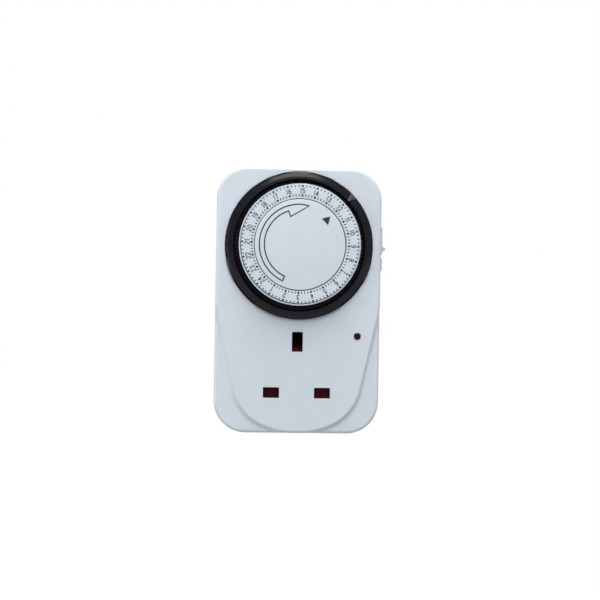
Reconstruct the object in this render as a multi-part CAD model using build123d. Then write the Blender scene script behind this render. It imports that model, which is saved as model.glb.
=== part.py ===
"""Plug-in 24-hour mechanical timer switch with a British three-pin plug and socket.

The origin is on the flat wall face, midway between the earth pin and the row of the
other two. +Z is up, the dial faces -Y and the plug pins point along +Y. Heights above
the wall face are called depths: a depth of 10 is y = -10.
"""

import os
from math import asin, atan2, cos, degrees, hypot, pi, radians, sin, sqrt, tan

from build123d import *

# ---------------------------------------------------------------- plug and socket
PIN_PITCH = 22.23  # line pin to neutral pin
EARTH_RISE = 22.23  # earth pin above the row of the other two
POWER_PIN_WIDTH = 6.35
EARTH_PIN_HEIGHT = 7.92
PIN_THICK = 3.97
POWER_PIN_LENGTH = 17.7
EARTH_PIN_LENGTH = 22.73
PIN_TIP = 1.4  # bevel round each pin's tip
PIN_HEAD_RIM = 1.2  # the head inside is this much larger all round
PIN_HEAD_THICK = 2.8
SLEEVE_LENGTH = 9.5
SLEEVE_THICK = 0.6
SLOT_CLEARANCE = 0.68  # socket slot over pin, both ways

# ---------------------------------------------------------------- housing
BODY_WIDTH = 72.0
CORNER_RADIUS = 14.0
ROW_TO_BOTTOM = 17.6  # line and neutral row above the bottom end
COVER_DEPTH = 11.0  # the rear cover's share of the depth
SIDE_WALL = 2.0
FRONT_WALL = 3.0
COVER_FLOOR = 2.2
RIM_BEVEL = 1.1
FACE_BEVEL = 0.6
WALL_EDGE_BEVEL = 0.9
FIT = 0.1  # gap between pieces that seat in each other

# the raised tongue of the front face
STEP = 1.4  # lower corners behind the tongue
STEP_SLOPE = 45.0
SHOULDER_BELOW_MIDDLE = 1.0
FLANK_ANGLE = 12.6
TONGUE_NOSE_RADIUS = 36.0
TONGUE_SIDE_RADIUS = 22.0
TONGUE_TIP_RISE = 0.5

# ---------------------------------------------------------------- dial and its well
EARTH_SLOT_TO_WELL = 5.07  # face left between the earth slot and the well's wall
BEZEL_TO_TOP = 1.9  # face left above the dial's ring
BEZEL_WIDTH = 2.8
BEZEL_CLEARANCE = 0.35  # bezel over the tappets
BEZEL_INNER_HEIGHT = 2.4
BEZEL_OUTER_HEIGHT = 1.6
BEZEL_COLLAR_THICK = 1.0
BEZEL_COLLAR_DEPTH = 4.0
BEZEL_CROWN = 0.84  # flat part of the bezel's top
NOTCH_ARCS = ((6.5, 21.0), (27.0, 38.0), (81.0, 101.0), (118.0, 144.0))  # each side of the top
NOTCH_FLOOR = 0.25  # left under each notch in the bezel's outer edge
NOTCH_RADIAL = 1.05
POINTER_ANGLE = 45.0  # time pointer, clockwise from the top
POINTER_WIDTH = 4.2
POINTER_RISE = 0.5
WELL_DEPTH = 14.0
WELL_FLOOR = 1.6
WELL_WALL = 2.0
POST_RADIUS = 4.0
PLUG_ACROSS = 4.0  # square plug that keeps the centre disc from turning
PLUG_LENGTH = 6.0
RUNNING = 0.05  # radial gap of turning pieces
AXIAL_GAP = 0.3

SCALE_RADIUS = 26.2
DISC_RADIUS = 19.5
DISC_GROOVE = 0.4  # between the disc and the turning drum
SCALE_RISE = 8.0  # dial face in front of the housing's face
SCALE_FACE_THICK = 1.8
DRUM_WALL = 1.9
SCALE_PLATE_RISE = 5.0  # printed plate above the drum's rim
SCALE_PLATE_INSET = 0.4
DISC_STEM_RADIUS = 6.0
DISC_STEM_LENGTH = 4.0

DIAL_TEETH = 60
DIAL_MODULE = 0.6
GEAR_FACE = 2.8
HUB_RADIUS = 6.2
HEX_BOSS_ACROSS = 16.0  # across flats, where the tappet carrier is keyed on
HEX_BOSS_RISE = 1.6
HUB_TOP_GAP = 0.3

# ---------------------------------------------------------------- tappets
TAPPET_COUNT = 96
HOURS = 24
DIAL_SETTING = 1.45  # degrees that the dial stands clockwise of a whole hour
TAPPET_CLEARANCE = 0.4  # tappets outside the drum
TAPPET_REACH = 2.55  # head, measured outwards
TAPPET_STEM = 1.3
TAPPET_WIDTH = 1.3
TAPPET_HEAD = 2.6
TAPPET_PROUD = 1.2  # of the housing's face
TAPPET_BEVEL = 0.7
TAPPET_TRAVEL = 3.0
TAPPET_FLOOR_GAP = 0.8  # a pushed tappet above the well floor
SLIT_CLEARANCE = 0.05
CARRIER_INNER_WALL = 1.2
CARRIER_WEB = 1.6
COMB_OVERHANG = 0.7  # ribs beyond the stems

# ---------------------------------------------------------------- motor and gears
MOTOR_X = 0.0
MOTOR_ABOVE_DIAL = 7.0
MOTOR_RADIUS = 17.0
MOTOR_HEIGHT = 10.0
MOTOR_SHEET = 0.8
MOTOR_RIB = 1.6
MOTOR_RIB_LENGTH = 9.0
MOTOR_RIB_HEIGHT = 3.0
COIL_INNER_RADIUS = 9.4
LEAD_WIDTH = 0.8
NEUTRAL_LEAD_X = -7.2
LIVE_LEAD_X = 9.0
LIVE_LEAD_END = 31.0  # above the earth pin's axis
ROTOR_RADIUS = 8.4
ROTOR_AIR = 0.6
ROTOR_SHAFT_RADIUS = 0.75
PLATE_THICK = 1.2
PLATE_OVERHANG = 0.6
PLATE_NOSE_RADIUS = 4.0
CLUTCH_ANGLE = 225.0  # from the dial axis, anticlockwise from +X
CLUTCH_TEETH = 40
CLUTCH_MODULE = 0.5
PINION_TEETH = 10
CLUTCH_SHAFT_RADIUS = 1.0
CLUTCH_WHEEL_THICK = 1.6
CLUTCH_HUB_RADIUS = 3.0
PINION_STEM_RADIUS = 1.9
PINION_WINDOW_GAP = 0.6
OUTPUT_SHAFT_RADIUS = 1.2
WHEEL_BELOW_FLOOR = 2.0  # clutch wheel under the well floor

# ---------------------------------------------------------------- timed switch
LEVER_WIDTH = 4.0
LEVER_THICK = 2.4
LEVER_PIVOT_BELOW_NOSE = 12.8
LEVER_TAIL = 12.0
LEVER_NOSE = 2.8
NOSE_GAP = 0.3  # nose to a pushed tappet
TRUNNION_RADIUS = 1.2
TRUNNION_LENGTH = 1.4
EAR_THICK = 1.5
EAR_UNDER = 1.2
EAR_TO_PLATE = 0.2
SIDE_GAP = 0.3
LEAF_THICK = 0.3
LEAF_GAP = 0.3
LEAF_LENGTH = 20.5
KNUCKLE_RADIUS = 0.5
RIVET_RADIUS = 1.3
RIVET_HEIGHT = 0.6
CONTACT_GAP = 0.65
CONTACT_TO_FLOOR = 0.15
BRASS = 0.6

# ---------------------------------------------------------------- socket contacts
CLIP_WIDTH = 6.0
EARTH_CLIP_WIDTH = 7.4
CLIP_SHEET = 0.7
CLIP_HALF = 3.6
CLIP_PINCH = 2.0
CLIP_MOUTH_BEHIND_SHUTTER = 0.6
LIVE_CLIP_RISE = 3.4  # the live clip stands clear of the live pin

# ---------------------------------------------------------------- shutter
SHUTTER_THICK = 1.6
SHUTTER_GAP = 0.3
SHUTTER_LAP = 0.7
SHUTTER_OVERRUN = 0.25
SHUTTER_STEM_WIDTH = 6.0
RAMP_LAP = 0.6  # ramp beyond each side of the earth slot
RAMP_REACH = 7.5
RAIL_THICK = 1.5
RAIL_LIP = 0.9
SPRING_WIRE = 0.5
SPRING_HALF_WIDTH = 3.2
SPRING_BENDS = 6

# ---------------------------------------------------------------- override switch
SWITCH_BELOW_DIAL = 0.4
SURROUND_LENGTH = 20.2
SURROUND_WIDTH = 8.0
SURROUND_PROUD = 1.4
SURROUND_RIBS = 4
SURROUND_RIB_WIDTH = 0.7
SURROUND_RIB_DEEP = 0.4
SWITCH_BEHIND_FACE = 10.5
SWITCH_TRAVEL = 5.0
KNOB_ROOT = 2.7
KNOB_WIDTH = 4.6
KNOB_PROUD = 2.9
KNOB_TIP = 0.8
KNOB_GAP = 0.15
SLIDER_PLATE = 1.0
SLIDER_HALF_LENGTH = 8.0
SLIDER_REACH = 7.0  # behind the well floor
BRIDGE_LENGTH = 8.0
BRIDGE_THICK = 0.6
STRIP_BELOW_SLIDER = 1.4

# ---------------------------------------------------------------- neon and screws
LENS_FROM_SIDE = 9.9
LENS_ABOVE_EARTH = 2.77
LENS_RADIUS = 1.5
LENS_FLANGE = 0.9
LENS_DOME = 0.7
LAMP_RADIUS = 2.0
LAMP_LENGTH = 10.0
LEAD_THICK = 0.6
RESISTOR_RADIUS = 1.2
RESISTOR_LENGTH = 6.4
SCREW_INSET = 7.2
SCREW_HEAD_RADIUS = 2.7
SCREW_HEAD_HEIGHT = 1.8
SCREW_RADIUS = 1.2
SCREW_LENGTH = 13.0
SCREW_SEAT_DEPTH = 6.0
BOSS_WALL = 1.8
HOLE_GAP = 0.3
HIDDEN_SIDES = 24  # flats on round walls that nothing shows
SMALL_SIDES = 8

RIGHT_TO_TOP = 90  # clockwise angles start at the top, revolved sections at the right

# ---------------------------------------------------------------- worked-out places
SLOT_LONG = POWER_PIN_WIDTH + SLOT_CLEARANCE
SLOT_SHORT = PIN_THICK + SLOT_CLEARANCE
EARTH_SLOT = EARTH_PIN_HEIGHT + SLOT_CLEARANCE

# radii of the dial, from the drum outwards
SCALE_INNER_RADIUS = DISC_RADIUS + DISC_GROOVE
TAPPET_INNER_RADIUS = SCALE_RADIUS + TAPPET_CLEARANCE
TAPPET_OUTER_RADIUS = TAPPET_INNER_RADIUS + TAPPET_REACH
BEZEL_INNER_RADIUS = TAPPET_OUTER_RADIUS + BEZEL_CLEARANCE
BEZEL_RADIUS = BEZEL_INNER_RADIUS + BEZEL_WIDTH
WELL_RADIUS = BEZEL_INNER_RADIUS + BEZEL_COLLAR_THICK + FIT

# places in the front view
ROW_Z = -EARTH_RISE / 2
EARTH_Z = EARTH_RISE / 2
LINE_X = PIN_PITCH / 2
DIAL_Z = EARTH_Z + EARTH_SLOT / 2 + EARTH_SLOT_TO_WELL + WELL_RADIUS + WELL_WALL
BODY_LOW = ROW_Z - ROW_TO_BOTTOM
BODY_TOP = DIAL_Z + BEZEL_RADIUS + BEZEL_TO_TOP
BODY_HEIGHT = BODY_TOP - BODY_LOW
BODY_MIDDLE = (BODY_LOW + BODY_TOP) / 2

# depths from the wall face, piece upon piece
PLATE_LOW = COVER_FLOOR + MOTOR_HEIGHT
PLATE_TOP = PLATE_LOW + PLATE_THICK
PIVOT_DEPTH = PLATE_TOP + EAR_TO_PLATE + EAR_UNDER + TRUNNION_RADIUS
LEVER_TOP = PIVOT_DEPTH + LEVER_THICK / 2
LEAF_LOW = LEVER_TOP + LEAF_GAP
LEAF_TOP = LEAF_LOW + LEAF_THICK
FIXED_LOW = LEAF_TOP + RIVET_HEIGHT + CONTACT_GAP + RIVET_HEIGHT
FLOOR_UNDER = FIXED_LOW + BRASS + CONTACT_TO_FLOOR
FLOOR_TOP = FLOOR_UNDER + WELL_FLOOR
BODY_DEPTH = FLOOR_TOP + WELL_DEPTH
CEILING = BODY_DEPTH - FRONT_WALL
SCALE_TOP = BODY_DEPTH + SCALE_RISE
SCALE_UNDER = SCALE_TOP - SCALE_FACE_THICK
POST_TOP = SCALE_UNDER - DISC_STEM_LENGTH

GEAR_LOW = FLOOR_TOP + AXIAL_GAP
GEAR_TOP = GEAR_LOW + GEAR_FACE
CARRIER_LOW = GEAR_TOP
TAPPET_TOP = BODY_DEPTH + TAPPET_PROUD
HEAD_LOW = TAPPET_TOP - TAPPET_HEAD
FOOT_LOW = FLOOR_TOP + TAPPET_FLOOR_GAP + TAPPET_TRAVEL
COMB_TOP = HEAD_LOW - TAPPET_TRAVEL - AXIAL_GAP
COMB_RADIUS = TAPPET_INNER_RADIUS + TAPPET_STEM + COMB_OVERHANG
COMB_ROOT_RADIUS = TAPPET_INNER_RADIUS - SLIT_CLEARANCE
STEM_RADIUS = TAPPET_INNER_RADIUS + TAPPET_STEM

CLUTCH_REACH = (DIAL_TEETH + PINION_TEETH) * DIAL_MODULE / 2
CLUTCH_X = CLUTCH_REACH * cos(radians(CLUTCH_ANGLE))
CLUTCH_Z = DIAL_Z + CLUTCH_REACH * sin(radians(CLUTCH_ANGLE))
MOTOR_Z = DIAL_Z + MOTOR_ABOVE_DIAL
WHEEL_TOP = FLOOR_UNDER - WHEEL_BELOW_FLOOR
WHEEL_LOW = WHEEL_TOP - CLUTCH_WHEEL_THICK

PIN_HEAD_TOP = COVER_FLOOR + PIN_HEAD_THICK
SHUTTER_TOP = CEILING - SHUTTER_GAP
SHUTTER_UNDER = SHUTTER_TOP - SHUTTER_THICK
SHUTTER_TRAVEL = SLOT_SHORT + SHUTTER_LAP + SHUTTER_OVERRUN
SHUTTER_HALF_WIDTH = LINE_X + SLOT_LONG / 2 + SHUTTER_LAP
SHUTTER_LOW = ROW_Z - SLOT_SHORT / 2 - SHUTTER_LAP
CLIP_MOUTH = SHUTTER_UNDER - CLIP_MOUTH_BEHIND_SHUTTER
EARTH_CLIP_MOUTH = CLIP_MOUTH - RAMP_REACH  # behind the ramp as well

NOSE_RADIUS = (TAPPET_INNER_RADIUS + STEM_RADIUS) / 2
LEVER_X = NOSE_RADIUS * sin(radians(POINTER_ANGLE))
NOSE_Z = DIAL_Z + NOSE_RADIUS * cos(radians(POINTER_ANGLE))
PIVOT_Z = NOSE_Z - LEVER_PIVOT_BELOW_NOSE
TAIL_Z = PIVOT_Z - LEVER_TAIL
HINGE_Z = TAIL_Z - LEAF_LENGTH + LEVER_WIDTH / 2
RIVET_Z = TAIL_Z - LEVER_WIDTH / 2

SWITCH_Z = DIAL_Z - SWITCH_BELOW_DIAL
SWITCH_DEPTH = BODY_DEPTH - SWITCH_BEHIND_FACE
SLIDER_OUTER_X = BODY_WIDTH / 2 - SIDE_WALL - SIDE_GAP
SLIDER_LOW = FLOOR_UNDER - SLIDER_REACH
LENS_X = BODY_WIDTH / 2 - LENS_FROM_SIDE
LENS_Z = EARTH_Z + LENS_ABOVE_EARTH


# ---------------------------------------------------------------- helpers
def front_plane(depth, x=0.0, z=0.0):
    """Plane parallel to the wall, seen from the front: local x right, local y up."""
    return Plane(origin=(x, -depth, z), x_dir=(1, 0, 0), z_dir=(0, -1, 0))


def prism(outline, low, high, x=0.0, z=0.0, taper=0.0):
    """A front-view outline carried from one depth to another."""
    return extrude(front_plane(low, x, z) * outline, high - low, dir=(0, -1, 0), taper=taper)


def block(x_low, x_high, low, high, z_low, z_high):
    """A box between two values of x, two depths and two heights."""
    size = (x_high - x_low, high - low, z_high - z_low)
    centre = ((x_low + x_high) / 2, -(low + high) / 2, (z_low + z_high) / 2)
    return Pos(*centre) * Box(*size)


def turned(profile, x=0.0, z=DIAL_Z, arc=360.0):
    """A closed profile of (radius, depth) points turned about an axis along Y."""
    face = Polygon(*profile, align=None) if isinstance(profile, list) else profile
    half_plane = Plane(origin=(x, 0, z), x_dir=(1, 0, 0), z_dir=(0, 0, -1))
    return revolve(half_plane * face, Axis((x, 0, z), (0, -1, 0)), arc)


def clockwise(solid, angle, x=0.0, z=DIAL_Z):
    """A solid turned clockwise, seen from the front, about an axis along Y."""
    return solid.rotate(Axis((x, 0, z), (0, 1, 0)), angle)


def flat_edges(solid, depth):
    """Edges that lie wholly at one depth."""
    near = 1e-4
    return [
        edge
        for edge in solid.edges()
        if abs(edge.bounding_box().min.Y + depth) < near and abs(edge.bounding_box().max.Y + depth) < near
    ]


def tooth_outline(teeth, module, turn=0.0):
    """A gear outline with straight-sided teeth: root, flank, tip, flank for each tooth."""
    pitch_radius = teeth * module / 2
    tip, root = pitch_radius + 0.8 * module, pitch_radius - 1.15 * module
    step = 2 * pi / teeth
    points = []
    for tooth in range(teeth):
        middle = tooth * step + radians(turn)
        for radius, share in ((root, -0.30), (tip, -0.11), (tip, 0.11), (root, 0.30)):
            points.append((radius * cos(middle + share * step), radius * sin(middle + share * step)))
    return Polygon(*points, align=None)


# ---------------------------------------------------------------- front housing
def body_outline(inset=0.0):
    """Front view of the housing, less a wall."""
    return RectangleRounded(BODY_WIDTH - 2 * inset, BODY_HEIGHT - 2 * inset, CORNER_RADIUS - inset)


def tongue_outline(grow):
    """Raised part of the face: straight flanks that run into a round nose at the bottom."""
    lean = tan(radians(FLANK_ANGLE))
    beyond = CORNER_RADIUS
    half, top, bottom = BODY_WIDTH / 2 + beyond, BODY_HEIGHT / 2 + beyond, -BODY_HEIGHT / 2 - beyond

    def flank_x(height):
        edge = BODY_WIDTH / 2 + grow * sqrt(1 + lean * lean)
        return edge - (-SHOULDER_BELOW_MIDDLE - height) * lean

    shoulder = -SHOULDER_BELOW_MIDDLE + (half - flank_x(-SHOULDER_BELOW_MIDDLE)) / lean
    right = [(half, top), (half, shoulder), (flank_x(bottom), bottom)]
    left = [(-x, y) for x, y in reversed(right)]
    nose_centre = -BODY_HEIGHT / 2 + TONGUE_TIP_RISE + TONGUE_NOSE_RADIUS
    above = Pos(0, nose_centre + BODY_HEIGHT) * Rectangle(3 * BODY_WIDTH, 2 * BODY_HEIGHT)
    nose = Pos(0, nose_centre) * Circle(TONGUE_NOSE_RADIUS + grow) + above
    outline = Polygon(*right, *left, align=None) & nose
    corners = [v for v in outline.vertices() if v.Y < nose_centre - SHUTTER_LAP and abs(v.X) > 1]
    return fillet(corners, TONGUE_SIDE_RADIUS + grow)


def outer_form():
    """The moulded outside: a bevelled rim and the raised tongue that the dial stands on."""
    lower = prism(body_outline(), COVER_DEPTH, BODY_DEPTH - STEP, 0, BODY_MIDDLE)
    lower = chamfer(flat_edges(lower, BODY_DEPTH - STEP), RIM_BEVEL)
    foot = tongue_outline(STEP * tan(radians(STEP_SLOPE)))
    tongue = prism(foot, BODY_DEPTH - STEP, BODY_DEPTH, 0, BODY_MIDDLE, STEP_SLOPE)
    tongue += prism(foot, COVER_DEPTH, BODY_DEPTH - STEP, 0, BODY_MIDDLE)
    raised = prism(body_outline(), COVER_DEPTH, BODY_DEPTH, 0, BODY_MIDDLE) & tongue
    return lower + chamfer(flat_edges(raised, BODY_DEPTH), RIM_BEVEL, FACE_BEVEL)


def screw_places():
    """Centres of the four housing screws."""
    reach = BODY_WIDTH / 2 - SCREW_INSET
    return [(side * reach, z) for side in (-1, 1) for z in (BODY_LOW + SCREW_INSET, BODY_TOP - SCREW_INSET)]


def socket_slots(low, high):
    """The three slots of the socket."""
    power = Rectangle(SLOT_LONG, SLOT_SHORT)
    slots = prism(Rectangle(SLOT_SHORT, EARTH_SLOT), low, high, 0, EARTH_Z)
    for side in (-1, 1):
        slots += prism(power, low, high, side * LINE_X, ROW_Z)
    return slots


def shutter_rails():
    """Rails with lips under the face, which guide the shutter up and down."""
    low_z = SHUTTER_LOW - SHUTTER_TRAVEL
    high_z = ROW_Z + SLOT_SHORT / 2 + SHUTTER_LAP
    inner = SHUTTER_HALF_WIDTH + SHUTTER_GAP
    lip_top = SHUTTER_UNDER - SHUTTER_GAP
    rails = None
    for side in (-1, 1):
        rail = block(inner, inner + RAIL_THICK, lip_top - 1, CEILING + 1, low_z, high_z)
        rail += block(inner - RAIL_LIP, inner + RAIL_THICK, lip_top - 1, lip_top, low_z, high_z)
        rail = rail if side > 0 else mirror(rail, Plane.YZ)
        rails = rail if rails is None else rails + rail
    return rails


def lever_bracket():
    """Two ears under the well floor that carry the lever's trunnions."""
    half = LEVER_WIDTH / 2 + SIDE_GAP
    reach = TRUNNION_RADIUS + EAR_UNDER
    ears = None
    for side in (-1, 1):
        near, far = sorted((LEVER_X + side * half, LEVER_X + side * (half + EAR_THICK)))
        ear = block(near, far, PIVOT_DEPTH - reach, FLOOR_UNDER + 0.5, PIVOT_Z - reach, PIVOT_Z + reach)
        ears = ear if ears is None else ears + ear
    bore = Pos(LEVER_X, -PIVOT_DEPTH, PIVOT_Z) * Rot(0, 90, 0)
    return ears - bore * Cylinder(TRUNNION_RADIUS + RUNNING, 2 * (half + EAR_THICK) + 1)


def switch_surround():
    """Raised surround of the side switch, with gripping ribs above and below its slot."""
    face_x = BODY_WIDTH / 2 + SURROUND_PROUD
    half_width, half_length = SURROUND_WIDTH / 2, SURROUND_LENGTH / 2
    pad = block(
        BODY_WIDTH / 2 - SIDE_WALL / 2,
        face_x,
        SWITCH_DEPTH - half_width,
        SWITCH_DEPTH + half_width,
        SWITCH_Z - half_length,
        SWITCH_Z + half_length,
    )
    pad = chamfer(pad.faces().sort_by(Axis.X)[-1].edges(), SURROUND_RIB_DEEP)
    groove = block(
        face_x - SURROUND_RIB_DEEP,
        face_x + 1,
        SWITCH_DEPTH - SURROUND_WIDTH,
        SWITCH_DEPTH + SURROUND_WIDTH,
        -SURROUND_RIB_WIDTH / 2,
        SURROUND_RIB_WIDTH / 2,
    )
    first = SWITCH_TRAVEL + KNOB_ROOT / 2
    spacing = (half_length - first) / SURROUND_RIBS
    for rib in range(SURROUND_RIBS):
        offset = first + (rib + 0.5) * spacing
        for side in (-1, 1):
            pad -= Pos(0, 0, SWITCH_Z + side * offset) * groove
    return pad


def front_housing():
    """White moulded front with the dial well, the socket slots and the inner bosses."""
    shell = outer_form() + switch_surround()
    shell -= prism(body_outline(SIDE_WALL), COVER_DEPTH, CEILING, 0, BODY_MIDDLE)
    well_outer = RegularPolygon(WELL_RADIUS + WELL_WALL, HIDDEN_SIDES)
    shell += prism(well_outer, FLOOR_UNDER, CEILING + FRONT_WALL / 2, 0, DIAL_Z)
    shell += shutter_rails()
    shell += lever_bracket()
    boss = Rectangle(2 * (SCREW_RADIUS + BOSS_WALL), 2 * (SCREW_RADIUS + BOSS_WALL))
    pilot = RegularPolygon(SCREW_RADIUS + RUNNING, SMALL_SIDES)
    for x, z in screw_places():
        shell += prism(boss, COVER_DEPTH, CEILING + FRONT_WALL / 4, x, z)
    for x, z in screw_places():
        shell -= prism(pilot, COVER_DEPTH - 1, SCREW_SEAT_DEPTH + SCREW_LENGTH + 1, x, z)
    shell -= prism(RegularPolygon(WELL_RADIUS, HIDDEN_SIDES), FLOOR_TOP, BODY_DEPTH + 1, 0, DIAL_Z)
    shell += prism(Circle(POST_RADIUS), FLOOR_UNDER, POST_TOP, 0, DIAL_Z)
    shell -= prism(Rectangle(PLUG_ACROSS, PLUG_ACROSS), POST_TOP - PLUG_LENGTH - 1, POST_TOP, 0, DIAL_Z)
    window = Circle((PINION_TEETH / 2 + 0.8) * DIAL_MODULE + PINION_WINDOW_GAP)
    shell -= prism(window, FLOOR_UNDER - 1, FLOOR_TOP + 1, CLUTCH_X, CLUTCH_Z)
    nose_slot = Rectangle(LEVER_NOSE + 2 * SIDE_GAP, LEVER_NOSE + 4 * SIDE_GAP)
    shell -= prism(nose_slot, FLOOR_UNDER - 1, FLOOR_TOP + 1, LEVER_X, NOSE_Z)
    shell -= socket_slots(CEILING - 1, BODY_DEPTH + 1)
    shell -= prism(Circle(LENS_RADIUS + FIT / 2), CEILING - 1, BODY_DEPTH + 1, LENS_X, LENS_Z)
    return shell - slider_room()


def slider_room():
    """Slot for the knob and the pocket that the slider's plate runs in."""
    reach = KNOB_ROOT / 2 + KNOB_GAP
    half_knob = KNOB_WIDTH / 2 + KNOB_GAP
    slot = block(
        SLIDER_OUTER_X,
        BODY_WIDTH / 2 + SURROUND_PROUD + 1,
        SWITCH_DEPTH - half_knob,
        SWITCH_DEPTH + half_knob,
        SWITCH_Z - SWITCH_TRAVEL - reach,
        SWITCH_Z + reach,
    )
    pocket = block(
        SLIDER_OUTER_X - SLIDER_PLATE - SIDE_GAP,
        SLIDER_OUTER_X + SIDE_GAP,
        SLIDER_LOW - SIDE_GAP,
        SWITCH_DEPTH + half_knob + SIDE_GAP,
        SWITCH_Z - SWITCH_TRAVEL - SLIDER_HALF_LENGTH - SIDE_GAP,
        SWITCH_Z + SLIDER_HALF_LENGTH + SIDE_GAP,
    )
    return slot + pocket


# ---------------------------------------------------------------- rear cover
def rear_cover():
    """White tray that closes the back, carries the pins and takes the screws."""
    outline = body_outline()
    cover = prism(outline, 0, COVER_DEPTH, 0, BODY_MIDDLE)
    cover = chamfer(flat_edges(cover, 0), WALL_EDGE_BEVEL)
    cover -= prism(body_outline(SIDE_WALL), COVER_FLOOR, COVER_DEPTH + 1, 0, BODY_MIDDLE)
    boss_width = 2 * (SCREW_HEAD_RADIUS + HOLE_GAP + BOSS_WALL)
    room = prism(body_outline(SIDE_WALL / 2), 0, COVER_DEPTH, 0, BODY_MIDDLE)
    for x, z in screw_places():
        cover += prism(Rectangle(boss_width, boss_width), COVER_FLOOR / 2, COVER_DEPTH, x, z) & room
    for x, z in screw_places():
        counterbore = RegularPolygon(SCREW_HEAD_RADIUS + HOLE_GAP, HIDDEN_SIDES)
        cover -= prism(counterbore, -1, SCREW_SEAT_DEPTH, x, z)
        hole = RegularPolygon(SCREW_RADIUS + HOLE_GAP, SMALL_SIDES)
        cover -= prism(hole, -1, COVER_DEPTH + 1, x, z)
    near, far = MOTOR_RADIUS + FIT, MOTOR_RADIUS + FIT + MOTOR_RIB
    rib = Pos((near + far) / 2, 0) * Rectangle(far - near, MOTOR_RIB_LENGTH)
    rib_top = COVER_FLOOR + MOTOR_RIB_HEIGHT
    for turn in (0, 90, 180, 270):
        cover += prism(Rot(0, 0, turn) * rib, COVER_FLOOR / 2, rib_top, MOTOR_X, MOTOR_Z)
    post_x = LINE_X + POWER_PIN_WIDTH / 2 + PIN_HEAD_RIM + 2 * FIT
    cover += block(
        post_x,
        post_x + PIN_THICK,
        COVER_FLOOR / 2,
        PIN_HEAD_TOP + LIVE_CLIP_RISE,
        ROW_Z - 2,
        ROW_Z + 2,
    )
    for hole in pin_holes():
        cover -= hole
    return cover


def pin_holes():
    """Straight holes for the three pins through the cover's floor."""
    power = Rectangle(POWER_PIN_WIDTH + 2 * FIT, PIN_THICK + 2 * FIT)
    earth = Rectangle(PIN_THICK + 2 * FIT, EARTH_PIN_HEIGHT + 2 * FIT)
    places = [(-LINE_X, ROW_Z, power), (LINE_X, ROW_Z, power), (0, EARTH_Z, earth)]
    return [prism(outline, -1, COVER_FLOOR + FIT, x, z) for x, z, outline in places]


# ---------------------------------------------------------------- plug pins
def pin(width, height, length, x, z, sleeved):
    """A plug pin with a bevelled tip and a head inside the cover."""
    blade = chamfer(
        prism(Rectangle(width, height), -length, 0, x, z).faces().sort_by(Axis.Y)[-1].edges(), PIN_TIP
    )
    head = prism(
        Rectangle(width + 2 * PIN_HEAD_RIM, height + 2 * PIN_HEAD_RIM), COVER_FLOOR, PIN_HEAD_TOP, x, z
    )
    neck = prism(Rectangle(width, height), 0, COVER_FLOOR, x, z)
    solid = blade + neck + head
    if sleeved:
        outer = Rectangle(width + 2, height + 2)
        core = Rectangle(width - 2 * SLEEVE_THICK, height - 2 * SLEEVE_THICK)
        solid -= prism(outer - core, -SLEEVE_LENGTH, COVER_FLOOR, x, z)
    return solid


def pin_sleeves():
    """Insulating sleeves on the roots of the line and neutral pins."""
    outer = Rectangle(POWER_PIN_WIDTH, PIN_THICK)
    core = Rectangle(POWER_PIN_WIDTH - 2 * SLEEVE_THICK, PIN_THICK - 2 * SLEEVE_THICK)
    tube = outer - core
    return [prism(tube, -SLEEVE_LENGTH, COVER_FLOOR, side * LINE_X, ROW_Z) for side in (-1, 1)]


# ---------------------------------------------------------------- socket contacts
def clip(base, width, mouth=CLIP_MOUTH):
    """A sprung two-leaf contact: leaves pinch near the front and flare at the mouth.

    It is drawn in its own front view with the leaves left and right.
    """
    rise = mouth - base
    pinch = CLIP_PINCH + CLIP_SHEET
    outer = [(CLIP_HALF, 0), (CLIP_HALF, rise * 0.55), (pinch, rise * 0.86), (CLIP_HALF, rise)]
    inner = [(x - CLIP_SHEET, y) for x, y in outer]
    inner[0] = (CLIP_HALF - CLIP_SHEET, CLIP_SHEET)
    right = outer + inner[::-1]
    left = [(-x, y) for x, y in reversed(right)]
    profile = Plane(origin=(0, -base, 0), x_dir=(1, 0, 0), z_dir=(0, 0, -1))
    face = Polygon(*right, *left, align=None)
    return extrude(profile * face, width / 2, both=True)


def upright_clip(base, width, x, z):
    """The clip turned a quarter, with its leaves above and below the pin."""
    return Pos(x, 0, z) * clip(base, width).rotate(Axis.Y, 90)


def live_contact():
    """Live clip with the lug that its lead strip stands on."""
    base = PIN_HEAD_TOP + LIVE_CLIP_RISE
    solid = upright_clip(base, CLIP_WIDTH, LINE_X, ROW_Z)
    edge = LINE_X + CLIP_WIDTH / 2
    reach, half = edge + CLIP_SHEET + PIN_THICK, LEVER_WIDTH / 2
    return solid + block(edge - 1, reach, base, base + CLIP_SHEET, ROW_Z - half, ROW_Z + half)


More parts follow.
